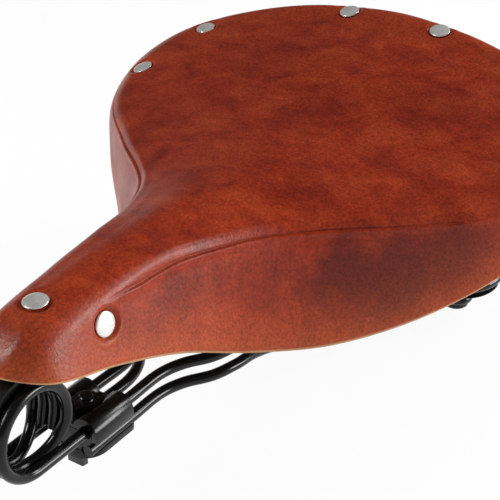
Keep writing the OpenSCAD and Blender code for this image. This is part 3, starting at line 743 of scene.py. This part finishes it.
# Round a rivet's head: the dent's slope, the sag further out and the raised ring
DENT_ROOM, DENT_SLOPE = 1.5, 1.1
SAG, SAG_W = 0.35, 4.5
RING_H, RING_AT, RING_W = 0.25, 2.6, 1.1
FAR, HEAD_REACH = 99.0, 25
WAVE_LENGTH = 34
EDGE_ROUND, EDGE_ROUND_W = 0.7, 1.2
EDGE_FADE = 14.0
OUTER, EDGE, FLESH = 0, 1, 2


def refined(centres, base, reach, fine, high):
    """Values from 0 to high: base apart, and as close as fine within reach of the centres."""
    values = list(np.linspace(0.0, high, int(round(high / base)) + 1))
    for c in centres:
        values += list(np.arange(max(0.0, c - reach), min(high, c + reach) + 1e-9, fine))
    values = sorted(values)
    kept = [values[0]]
    for v in values[1:]:
        if v - kept[-1] >= fine * 0.7:
            kept.append(v)
    kept[-1] = high
    return kept


def hump(x, centre, width):
    """A smooth rise to 1 at the centre."""
    return np.exp(-((x - centre) / width) ** 2)


def shell(us, outer, inner, closed, shared):
    """Points, faces and each face's kind, of a shell that mirrors itself in x.
    us run from the nose to the rear. The ribs follow one side and come back on the other: in a closed
    shell they go all the way round. In a shared one both sides meet at the first row."""
    n_u, n_v = outer.shape[:2]
    if closed:
        order = [(i, 1) for i in range(n_u)] + [(i, -1) for i in range(n_u - 2, 0, -1)]
    elif us[0] == 0:
        order = [(i, -1) for i in range(n_u - 1, 0, -1)] + [(i, 1) for i in range(n_u)]
    else:
        order = [(i, 1) for i in range(n_u)] + [(i, -1) for i in range(n_u - 2, -1, -1)]
    grids, points, ids = (outer, inner), [], {}
    faces, kinds = [], []

    def point(which, rib, j):
        i, side = order[rib % len(order)]
        in_middle = (shared and j == 0) or us[i] in (0.0, 1.0)
        key = (which, i, j, 0 if in_middle else side)
        if key not in ids:
            ids[key] = len(points)
            points.append(tuple(grids[which][i, j] * (side, 1, 1)))
        return ids[key]

    def face(kind, corners):
        """Corners that fall together leave a triangle, or nothing."""
        corners = tuple(dict.fromkeys(corners))
        if len(corners) > 2:
            faces.append(corners)
            kinds.append(kind)

    last = n_v - 1
    count = len(order) if closed else len(order) - 1
    for r in range(count):
        for j in range(last):
            face(OUTER, [point(0, r + a, j + b) for a, b in ((0, 0), (1, 0), (1, 1), (0, 1))][::-1])
    inner_rows = list(range(0, n_v, INNER_STEP))
    if inner_rows[-1] != last:
        inner_rows.append(last)
    for r in range(count):
        for j, k in zip(inner_rows, inner_rows[1:]):
            face(FLESH, [point(1, r, j), point(1, r + 1, j), point(1, r + 1, k), point(1, r, k)])
        face(EDGE, [point(1, r, last), point(1, r + 1, last), point(0, r + 1, last), point(0, r, last)])
        if not shared:
            face(EDGE, [point(1, r + 1, 0), point(1, r, 0), point(0, r, 0), point(0, r + 1, 0)])
    if not closed:
        for r in (0, len(order) - 1):
            ring = [point(0, r, j) for j in range(n_v)] + [point(1, r, j) for j in inner_rows[::-1]]
            face(EDGE, ring if r else ring[::-1])
    return points, faces, kinds


class SADDLE_OT_leather(bpy.types.Operator):
    """Makes the moulded leather with its crease, rivet dents and cut edge"""

    bl_idname = "saddle.leather"
    bl_label = "Leather"

    def execute(self, context):
        sizes = context.scene.saddle_leather
        rivet_us = [p[0] for p in NOSE_RIVETS[:2] + CANTLE_RIVETS[:3]]
        us = np.array(refined(rivet_us, base=1 / 110, reach=0.03, fine=0.0022, high=1.0))
        vs = set(refined([0.0, 2.3, 2.7, 5.15, 5.95], base=1 / 10, reach=0.45, fine=0.04, high=RIB_END))
        for before, after, step in CREASE_ROWS:
            vs |= set(np.arange(CREASE_V - before, CREASE_V + after, step))
        vs = sorted(vs)
        vs = np.array([vs[0]] + [b for a, b in zip(vs, vs[1:]) if b - a > ROW_GAP])
        rows = []
        for v in np.interp(us, LINE_U, LINE_V):
            even, follow = ([0, FOLLOW_FROM, at, FOLLOW_TO, RIB_END] for at in (CREASE_V, v))
            rows.append(np.interp(vs, even, follow))
        points, normals = hide_grid(us, np.array(rows).T)
        across = np.cumsum(np.linalg.norm(np.diff(points, axis=1, prepend=points[:, :1]), axis=-1), axis=1)
        # the tooled line, the lip below it and the ridge above it
        off = across - np.array([np.interp(CREASE_V, vs, row) for row in across])[:, None]
        tooled, line_shade, ridged = (np.interp(us, *table)[:, None] for table in (TOOLED, LINE_SHADE, RIDGED))
        groove = hump(off, 0, GROOVE_W) * tooled
        lip_w = np.where(off < LIP_AT, LIP_W_ABOVE, LIP_W_BELOW)
        drop = sizes.groove * groove - LIP_H * hump(off, LIP_AT, lip_w) * tooled
        drop -= RIDGE_H * hump(off, RIDGE_AT, RIDGE_W) * ridged
        drop += self.dents(points, sizes.dent, context.scene.saddle_metal.rivet_d / 2)
        waves = [noise.noise(Vector(p / WAVE_LENGTH)) for p in points.reshape(-1, 3)]
        drop += sizes.waves * np.array(waves).reshape(drop.shape)
        # the rounded lower edge
        rim = across[:, -1:] - across
        drop += EDGE_ROUND * np.clip(1 - rim / EDGE_ROUND_W, 0, 1) ** 2
        outer, inner = (points - normals * d for d in (drop[..., None], sizes.thickness))
        *shape, kinds = shell(us, outer, inner, True, True)
        piece = add_piece("leather", shape, "seat", "leather", ("leather_top",), kinds)
        self.paint(piece.data, points, np.exp(-rim / EDGE_FADE), groove * line_shade)
        return {"FINISHED"}

    def dents(self, points, depth, head_r):
        """How far the hide drops round the rivets' heads of the +x side."""
        near = np.full(points.shape[:2], FAR)
        for centre, axis in map(on_hide, NOSE_RIVETS + CANTLE_RIVETS):
            if centre[0] < -0.01:
                continue
            to = points - centre
            radial = np.linalg.norm(to - (to @ axis)[..., None] * axis, axis=-1)
            near = np.minimum(near, np.where(np.linalg.norm(to, axis=-1) < HEAD_REACH, radial, FAR))
        dent = depth * np.clip((head_r + DENT_ROOM - near) / DENT_SLOPE, 0, 1)
        dent += SAG * hump(near, head_r, SAG_W) - RING_H * hump(near, head_r + RING_AT, RING_W)
        return np.where(near < FAR, dent, 0)

    def paint(self, mesh, grid, edge, groove):
        """Stores how near each point is to the flap's lower edge, and how strong the painted shade of the
        tooled line is there.
        """
        flat = grid.reshape(-1, 3)
        tree = KDTree(len(flat))
        for i, p in enumerate(flat):
            tree.insert(Vector(p), i)
        tree.balance()
        nearest = []
        for vertex in mesh.vertices:
            x, y, z = (c / MM for c in vertex.co)
            nearest.append(tree.find(Vector((abs(x), y, z)))[1])
        for name, values in (("flap_edge", edge), ("groove", groove)):
            layer = mesh.attributes.new(name, "FLOAT", "POINT")
            layer.data.foreach_set("value", values.reshape(-1)[nearest].astype(np.float32))


# ---- rivets
SHANK_R, HEAD_RIM, HEAD_CHAMFER, TAIL_TOP = 2.0, 0.35, (0.25, 0.15), 8.6
TAIL = [(0, -9.6), (3.1, -9.6), (3.2, -9.2), (2.6, -8.7), (SHANK_R, -TAIL_TOP)]
GRIP = {"nose_rivets": 7.7, "cantle_rivets": 7.75}  # from the hide's face to the tail


class SADDLE_OT_rivets(bpy.types.Operator):
    """Makes the domed rivets of the nose and the cantle"""

    bl_idname = "saddle.rivets"
    bl_label = "Rivets"

    def execute(self, context):
        metal = context.scene.saddle_metal
        foot = -context.scene.saddle_leather.dent
        r, rise = metal.rivet_d / 2, metal.rivet_h - HEAD_RIM
        turns = np.linspace(0, math.pi / 2, 12)
        dome = [(r * math.cos(a), foot + HEAD_RIM + rise * math.sin(a)) for a in turns]
        dome[-1] = (0, dome[-1][1])
        inset, rim = HEAD_CHAMFER
        head = [(SHANK_R, foot - 0.2), (SHANK_R, foot), (r - inset, foot), (r, foot + rim)] + dome
        for name, places in (("nose_rivets", NOSE_RIVETS), ("cantle_rivets", CANTLE_RIVETS)):
            tail = [(a, b + TAIL_TOP - GRIP[name]) for a, b in TAIL]
            fasteners(
                name + "_domed", lathe(tail + head, 40), [on_hide(p) for p in places], "seat", "rivet", (name,)
            )
        return {"FINISHED"}


# ---- wire
SPRING_X, SPRING_Y, SPRING_D = 54.0, 202.0, 38.0
COIL_Y, COIL_R, RAIL_X, RAIL_Z = -35.3, 16.5, 7.75, 19.5
COIL_Z = RAIL_Z + COIL_R
COIL_PITCH, COIL_TURNS, STEP_FROM = 5.1, 1.8, 0.8
COIL_STEPS, COIL_LEAD = 130, (8, 18)
RAIL_GAP, SPREAD_X, BEND_START, BEND_END = 9.0, 21.0, 33.0, 66.0
LOWER_FRONT = (-9.5, -4.9)  # the first two places of a lower rail, ahead of the clamp
OUTWARD = [(0.12, 0.04, 0.08), (0.35, 0.22, 0.4), (0.6, 0.55, 0.8), (0.74, 0.76, 0.97), (0.84, 0.93, 1.0)]
SPRING_TURNS, TURN_STEPS, SPRING_START = 6.5, 48, 150
END_SPACE = 0.6  # between a spring's first and second turns
CUP_T = 2.0
HANDS = ((1, "left"), (-1, "right"))


def smooth(points, n):
    """A smooth line through points, n steps from each to the next."""
    p = np.array(points, float)
    padded = np.vstack((p[0], p, p[-1]))
    line = []
    for i in range(len(p) - 1):
        for k in range(n):
            line.append(catmull(*padded[i:i + 4], k / n))
    return line + [p[-1]]


def rail_points(z, eye_z, eye_r, wire_d):
    """Places along a rail from the clamp to its eye at the spring."""
    bend, inner_x = BEND_END - BEND_START, SPRING_X - eye_r
    return [
        (RAIL_X, 0, z), (RAIL_X, BEND_START / 2, z), (RAIL_X, BEND_START, z),
        (RAIL_X + 0.25 * (SPREAD_X - RAIL_X), BEND_START + 0.34 * bend, z),
        (RAIL_X + 0.75 * (SPREAD_X - RAIL_X), BEND_START + 0.66 * bend, z),
        (SPREAD_X, BEND_END, z),
        *[(SPREAD_X + b * (inner_x - SPREAD_X), BEND_END + a * (SPRING_Y - BEND_END), z + c * (eye_z - z))
          for a, b, c in OUTWARD],
        (inner_x, SPRING_Y - 2 * wire_d, eye_z), (inner_x, SPRING_Y - wire_d / 2, eye_z),
    ]


def rail_end(z, eye_z, wire_d):
    """A rail from the clamp, with its eye round the spring's bolt."""
    eye_r = BOLT_R + GAP + wire_d / 2
    turn = [math.radians(a) for a in np.arange(180, -90.1, -6)]
    eye = [(SPRING_X + eye_r * math.cos(a), SPRING_Y + eye_r * math.sin(a), eye_z) for a in turn]
    tip = (SPRING_X - wire_d, SPRING_Y - eye_r, eye_z)
    return smooth(rail_points(z, eye_z, eye_r, wire_d), 8) + eye + [tip]


def coil_x(k):
    """The front coil's distance from the middle, k turns up from the rail."""
    outer, inner = COIL_PITCH * 1.5, COIL_PITCH / 2
    if k < 0.75:
        return RAIL_X + (outer - RAIL_X) * k / 0.75
    if k < STEP_FROM:
        return outer
    if k < 1:
        return outer + (inner - outer) * (k - STEP_FROM) / (1 - STEP_FROM)
    return inner


def coil_point(k):
    a = 2 * math.pi * k
    return coil_x(k), COIL_Y - COIL_R * math.sin(a), COIL_Z - COIL_R * math.cos(a)


def sided(points, side):
    return [(side * p[0], p[1], p[2]) for p in points]


class SADDLE_OT_rails(bpy.types.Operator):
    """Makes the upper rails with the nose coil, and the lower rails"""

    bl_idname = "saddle.rails"
    bl_label = "Rails"

    def execute(self, context):
        wire_d = context.scene.saddle_metal.wire_d
        upper_eye = start_of("lower_spring_cup_left") - GAP - wire_d / 2
        lower_eye, lower_z = upper_eye - wire_d - GAP, RAIL_Z - RAIL_GAP
        coil = [coil_point(COIL_TURNS * i / COIL_STEPS) for i in range(COIL_STEPS + 1)]
        end = np.array(coil[-1]) + unit(np.array(coil[-1]) - np.array(coil[-2])) * wire_d
        upper = [tuple(end)] + coil[::-1] + [(RAIL_X, COIL_Y + y, RAIL_Z) for y in COIL_LEAD]
        upper += rail_end(RAIL_Z, upper_eye, wire_d)
        lower = [(RAIL_X, y, lower_z) for y in LOWER_FRONT] + rail_end(lower_z, lower_eye, wire_d)
        for side, hand in HANDS:
            wire(f"upper_wire_{hand}", sided(upper, side), wire_d, (f"upper_rail_{hand}",))
            wire(f"lower_wire_{hand}", sided(lower, side), wire_d, (f"lower_rail_{hand}",))
        return {"FINISHED"}


class SADDLE_OT_springs(bpy.types.Operator):
    """Makes the two rear springs, with a close turn at each end"""

    bl_idname = "saddle.springs"
    bl_label = "Rear springs"

    def execute(self, context):
        d = context.scene.saddle_metal.spring_wire_d
        base = start_of("lower_spring_cup_left") + CUP_T + GAP
        top = end_of("upper_spring_cup_left") - CUP_T - GAP
        height, end_pitch = top - base - d, d + END_SPACE
        turns = np.arange(int(SPRING_TURNS * TURN_STEPS) + 1) / TURN_STEPS
        rises = np.interp(
            turns, [0, 1, SPRING_TURNS - 1, SPRING_TURNS], [0, end_pitch, height - end_pitch, height]
        )
        line = []
        for k, rise in zip(turns, rises):
            a = 2 * math.pi * k + math.radians(SPRING_START)
            x, y = SPRING_D / 2 * math.cos(a), SPRING_D / 2 * math.sin(a)
            line.append((SPRING_X + x, SPRING_Y + y, base + d / 2 + rise))
        for side, hand in HANDS:
            piece = wire(f"spring_coil_{hand}", sided(line, side), d, (f"rear_spring_{hand}",))
            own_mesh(piece)
        return {"FINISHED"}


# ---- plates
CAP_T, CAP_END = 1.8, (5 / 24, 5.5)
PLATE_T, PLATE_U, PLATE_V = 2.5, (14 / 24, 1), (0.4, 3.15)
DISH_H, DISH_FROM = 3, 1.9  # the rear plate is dished toward its front, from this v on
BOSS = [(0, 0), (12.6, 0), (13, 0.4), (13, 8.5), (14.5, 11.5), (0, 11.5)]
CUP = [
    (3.3, 0), (15.2, 0), (15.7, 0.2), (18.7, 1.6), (18.9, 1.8), (18.7, 2), (15.1, 2), (14.7, 2.4),
    (14.7, 5.7), (14.4, 6), (13.0, 6), (12.75, 5.7), (12.75, 2.2), (12.5, 2), (3.3, 2), (3.3, 0),
]
# The upper cup tilts with the seat, so its collar is narrower and leaves the spring room
TILTING_CUP = [(r - 1.8 if 12.5 < r < 15 else r, z) for r, z in CUP]


class SADDLE_OT_plates(bpy.types.Operator):
    """Makes the nose bracket, the cantle plate, the coil shackle and the spring cups"""

    bl_idname = "saddle.plates"
    bl_label = "Plates and cups"

    def execute(self, context):
        under = context.scene.saddle_leather.thickness + GAP
        us, vs = np.linspace(0, CAP_END[0], 16), np.linspace(0, CAP_END[1], 45)
        points, normals = hide_grid(us, vs)
        outer, inner = points - normals * under, points - normals * (under + CAP_T)
        cap = shell(us, outer, inner, False, True)[:2]
        add_piece("nose_cap", cap, "seat", "plate", ("nose_bracket",))
        us, vs = np.linspace(*PLATE_U, 56), np.linspace(*PLATE_V, 44)
        points, normals = hide_grid(us, vs)
        t = np.clip(DISH_FROM - vs, 0, 1)
        dish = DISH_H * t * t * (3 - 2 * t)
        way = unit(normals + np.array((0, 0, 1.0)))
        way = way / (way * normals).sum(axis=-1, keepdims=True)
        depth = (under + 0.5 * GAP + dish)[None, :, None]
        plate = shell(us, points - way * depth, points - way * (depth + PLATE_T), False, False)[:2]
        add_piece("rear_plate", plate, "seat", "plate", ("cantle_plate",))
        for side, hand in HANDS:
            x, top = side * SPRING_X, end_of("upper_spring_cup_left")
            add_piece(f"spring_boss_{hand}", lathe(BOSS, 48, (x, SPRING_Y, top)), "seat", "plate")
            low, high = start_of(f"lower_spring_cup_{hand}"), end_of(f"upper_spring_cup_{hand}")
            for name, profile, z, axis, body in (
                (f"lower_spring_cup_{hand}", CUP, low, (0, 0, 1), "frame"),
                (f"upper_spring_cup_{hand}", TILTING_CUP, high, (0, 0, -1), "seat"),
            ):
                cup = lathe(profile, 64, (x, SPRING_Y, z), axis)
                add_piece(name + "_pressed", cup, body, "plate", (name,))
        softened("coil_shackle", 0.5, "seat", "plate")
        return {"FINISHED"}


# ---- clamp and fasteners
OVER = Matrix.Rotation(math.pi, 3, "X")
NUT_H, NUT_BORE, LOW_HEAD_H, HEAD_H = 4, 3.05, 2.8, 4
CLAMP_THREAD, SHANK_BARE, PIN_BARE = 12, 12, 5  # lengths of thread, and of the shanks without thread
WASHER = [(3.3, 0), (5.8, 0), (6, 0.2), (6, 1), (5.8, 1.2), (3.3, 1.2), (3.3, 0)]
ROUND_HEAD = [(0, 0), (3.6, 0.05), (5.0, 0.4), (5.8, 1.1), (6, 1.9), (6, 2.7), (5.9, 2.8), (BOLT_R, 2.8)]


class SADDLE_OT_clamp(bpy.types.Operator):
    """Makes the rail clamp: three jaws on one bolt"""

    bl_idname = "saddle.clamp"
    bl_label = "Rail clamp"

    def execute(self, context):
        for jaw, width in (("clamp_upper_jaw", 0.6), ("clamp_middle_jaw", 0.4), ("clamp_lower_jaw", 1.0)):
            softened(jaw, width, "clamp", "clamp")
        head, tip = start_of("clamp_bolt"), end_of("clamp_bolt")
        neck = [(0, head + 2), (BOLT_R, head + 2), (BOLT_R, head + 8)]
        bolt = joined(
            moved(hexagon(LOW_HEAD_H), (0, 0, head + LOW_HEAD_H), OVER),
            lathe(neck + threaded(tip - CLAMP_THREAD, tip)),
        )
        nut = moved(hexagon(NUT_H, NUT_BORE), (0, 0, start_of("clamp_nut")))
        ring = lathe(WASHER, 48, (0, 0, start_of("clamp_washer")))
        add_piece("clamp_screw", bolt, "clamp", "clamp", ("clamp_bolt",))
        add_piece("clamp_hex_nut", nut, "clamp", "clamp", ("clamp_nut",))
        add_piece("clamp_ring", ring, "clamp", "clamp", ("clamp_washer",))
        return {"FINISHED"}


class SADDLE_OT_fasteners(bpy.types.Operator):
    """Makes the spring bolts, their nuts and washers, and the tension bolt and nut"""

    bl_idname = "saddle.fasteners"
    bl_label = "Bolts and nuts"

    def execute(self, context):
        def at_springs(z):
            return [((side * SPRING_X, SPRING_Y, z), (0, 0, 1)) for side, _ in HANDS]

        low, high = start_of("lower_spring_bolts"), end_of("lower_spring_bolts")
        bolt = lathe(ROUND_HEAD + threaded(SHANK_BARE, high - low))
        fasteners("lower_spring_screws", bolt, at_springs(low), "frame", "plate", ("lower_spring_bolts",))
        for name, shape, node in (
            ("lower_spring_rings", lathe(WASHER), "lower_spring_washers"),
            ("lower_spring_hex_nuts", hexagon(NUT_H, NUT_BORE), "lower_spring_nuts"),
        ):
            fasteners(name, shape, at_springs(start_of(node)), "frame", "zinc", (node,))
        low, high = start_of("upper_spring_bolts"), end_of("upper_spring_bolts")
        bolt = joined(
            moved(hexagon(HEAD_H), (0, 0, HEAD_H), OVER),
            lathe([(0, 3), (BOLT_R, 3), (BOLT_R, high - low), (0, high - low)]),
        )
        fasteners("upper_spring_screws", bolt, at_springs(low), "seat", "zinc", ("upper_spring_bolts",))
        start, end = start_of("tension_bolt", 1), end_of("tension_bolt", 1)
        z = (start_of("tension_bolt") + end_of("tension_bolt")) / 2
        turns = np.linspace(0, math.pi / 2, 8)
        tip = [(BOLT_R * math.sin(a), BOLT_R - BOLT_R * math.cos(a)) for a in turns]
        bolt = lathe(tip + threaded(PIN_BARE, end - start), 40, (0, start, z), (0, 1, 0))
        add_piece("tension_screw", bolt, "seat", "zinc", ("tension_bolt",))
        forward = Matrix.Rotation(-math.pi / 2, 3, "X")
        nut = moved(hexagon(NUT_H, NUT_BORE), (0, start_of("tension_nut", 1), z), forward)
        add_piece("tension_hex_nut", nut, "tension_nut", "zinc", ("tension_nut",))
        return {"FINISHED"}


# ---- stage
# The camera: place in metres; turn from the nose, height and roll in degrees; focal length in mm
CAMERA_PLACE = (0.2618, -0.2874, 0.3057)
CAMERA_TURN, CAMERA_HEIGHT, CAMERA_ROLL = 33.54, 29.6, 0.17
CAMERA_LENS = 93.63
# Each lamp's place and size in metres: its power is the stage's value of the same name
LAMPS = {
    "back": ((0.68, 0.94, 0.64), (0.42, 0.36)),
    "right": ((0.96, 0.64, 0.20), (0.48, 0.38)),
    "left": ((-0.60, -0.62, 0.66), (0.3, 0.3)),
}
LAMP_TARGET = (0, 0.08, 0.06)
FLOOR_HALF, FLOOR_DROP = 6.0, 0.0005
SKY_FADE = (-0.03, 0.18)  # the heights between which the background darkens


def area_light(name, place, size, power):
    light = bpy.data.lights.new(name, "AREA")
    light.shape = "RECTANGLE"
    light.size, light.size_y = size
    light.energy = power
    lamp = linked(name, light)
    lamp.location = place
    lamp.rotation_euler = (Vector(LAMP_TARGET) - Vector(place)).to_track_quat("-Z", "Y").to_euler()


def seen_directly(tree):
    """A factor that is 1 for camera, glossy and transmission rays."""
    rays = add_node(tree, "ShaderNodeLightPath").outputs
    seen = rays["Is Camera Ray"]
    for kind in ("Is Glossy Ray", "Is Transmission Ray"):
        seen = add_node(tree, "ShaderNodeMath", {0: seen, 1: rays[kind]}, operation="MAXIMUM").outputs[0]
    return seen


class SADDLE_OT_stage(bpy.types.Operator):
    """Makes the camera, the lights, the background and the pale floor"""

    bl_idname = "saddle.stage"
    bl_label = "Stage"

    def execute(self, context):
        stage = context.scene.saddle_stage
        self.camera(context.scene)
        self.background(context.scene, stage)
        for name, (place, size) in LAMPS.items():
            area_light(name, place, size, getattr(stage, name))
        self.floor(stage)
        return {"FINISHED"}

    def camera(self, scene):
        data = bpy.data.cameras.new("camera")
        data.sensor_fit = "HORIZONTAL"
        data.sensor_width = 36
        data.lens = CAMERA_LENS
        camera = linked("camera", data)
        a, e, r = (math.radians(d) for d in (CAMERA_TURN, CAMERA_HEIGHT, CAMERA_ROLL))
        back = Vector((math.sin(a) * math.cos(e), -math.cos(a) * math.cos(e), math.sin(e)))
        right = Vector((math.cos(a), math.sin(a), 0))
        up = back.cross(right)
        right, up = right * math.cos(r) + up * math.sin(r), up * math.cos(r) - right * math.sin(r)
        turn = Matrix((right, up, back)).transposed()
        camera.matrix_world = Matrix.Translation(CAMERA_PLACE) @ turn.to_4x4()
        scene.camera = camera
        scene.view_settings.view_transform = "Standard"

    def background(self, scene, stage):
        """Pale at the horizon and darker overhead where it is seen, and even where it lights."""
        world = bpy.data.worlds.new("studio")
        world.use_nodes = True
        tree = world.node_tree
        tree.nodes.clear()
        direction = add_node(tree, "ShaderNodeTexCoord").outputs["Generated"]
        height = add_node(tree, "ShaderNodeSeparateXYZ", {0: direction}).outputs["Z"]
        low, high = SKY_FADE
        fade = add_node(tree, "ShaderNodeMapRange", {
            "Value": height, "From Min": low, "From Max": high, "To Min": 1.0, "To Max": stage.dim,
        }, interpolation_type="SMOOTHSTEP")
        shown = add_node(tree, "ShaderNodeBackground", {"Color": fade.outputs["Result"]})
        lit = add_node(tree, "ShaderNodeBackground", {"Color": (1, 1, 1, 1), "Strength": stage.sky})
        blend = add_node(
            tree, "ShaderNodeMixShader", {0: seen_directly(tree), 1: lit.outputs[0], 2: shown.outputs[0]}
        )
        add_node(tree, "ShaderNodeOutputWorld", {0: blend.outputs[0]})
        scene.world = world

    def floor(self, stage):
        low, far = cad_box[0][2] - FLOOR_DROP, FLOOR_HALF
        mesh = bpy.data.meshes.new("floor")
        corners = [(x, y, low) for x, y in ((-far, -far), (far, -far), (far, far), (-far, far))]
        mesh.from_pydata(corners, [], [(0, 1, 2, 3)])
        paint = bpy.data.materials.new("floor_white")
        paint.use_nodes = True
        tree = paint.node_tree
        surface = tree.nodes["Principled BSDF"]
        for key, value in (
            ("Base Color", (*stage.floor_colour, 1)), ("Roughness", 0.9), ("Specular IOR Level", 0.1),
        ):
            feed(tree, surface.inputs[key], value)
        part = add_node(
            tree, "ShaderNodeMath", {0: seen_directly(tree), 1: stage.floor_glow}, operation="MULTIPLY"
        )
        glow = add_node(tree, "ShaderNodeEmission")
        blend = add_node(
            tree, "ShaderNodeMixShader", {0: part.outputs[0], 1: surface.outputs[0], 2: glow.outputs[0]}
        )
        feed(tree, tree.nodes["Material Output"].inputs["Surface"], blend.outputs[0])
        mesh.materials.append(paint)
        floor = linked("floor", mesh)


class SADDLE_PT_panel(bpy.types.Panel):
    """Lists the saddle's pieces"""

    bl_label = "Saddle"
    bl_idname = "SADDLE_PT_panel"
    bl_space_type = "VIEW_3D"
    bl_region_type = "UI"
    bl_category = "Saddle"

    def draw(self, context):
        for step in STEPS:
            self.layout.operator("saddle." + step)
        for group in (context.scene.saddle_leather, context.scene.saddle_metal, context.scene.saddle_stage):
            for key in group.__annotations__:
                self.layout.prop(group, key)


STEPS = ("stage", "leather", "rivets", "rails", "springs", "plates", "clamp", "fasteners")
CLASSES = (
    SaddleLeather, SaddleMetal, SaddleStage,
    SADDLE_OT_stage, SADDLE_OT_leather, SADDLE_OT_rivets, SADDLE_OT_rails, SADDLE_OT_springs,
    SADDLE_OT_plates, SADDLE_OT_clamp, SADDLE_OT_fasteners, SADDLE_PT_panel,
)


def register():
    for cls in CLASSES:
        bpy.utils.register_class(cls)
    bpy.types.Scene.saddle_leather = bpy.props.PointerProperty(type=SaddleLeather)
    bpy.types.Scene.saddle_metal = bpy.props.PointerProperty(type=SaddleMetal)
    bpy.types.Scene.saddle_stage = bpy.props.PointerProperty(type=SaddleStage)


def unregister():
    del bpy.types.Scene.saddle_stage
    del bpy.types.Scene.saddle_metal
    del bpy.types.Scene.saddle_leather
    for cls in reversed(CLASSES):
        bpy.utils.unregister_class(cls)


def main():
    register()
    for step in STEPS:
        getattr(bpy.ops.saddle, step)()


if __name__ == "__main__":
    main()
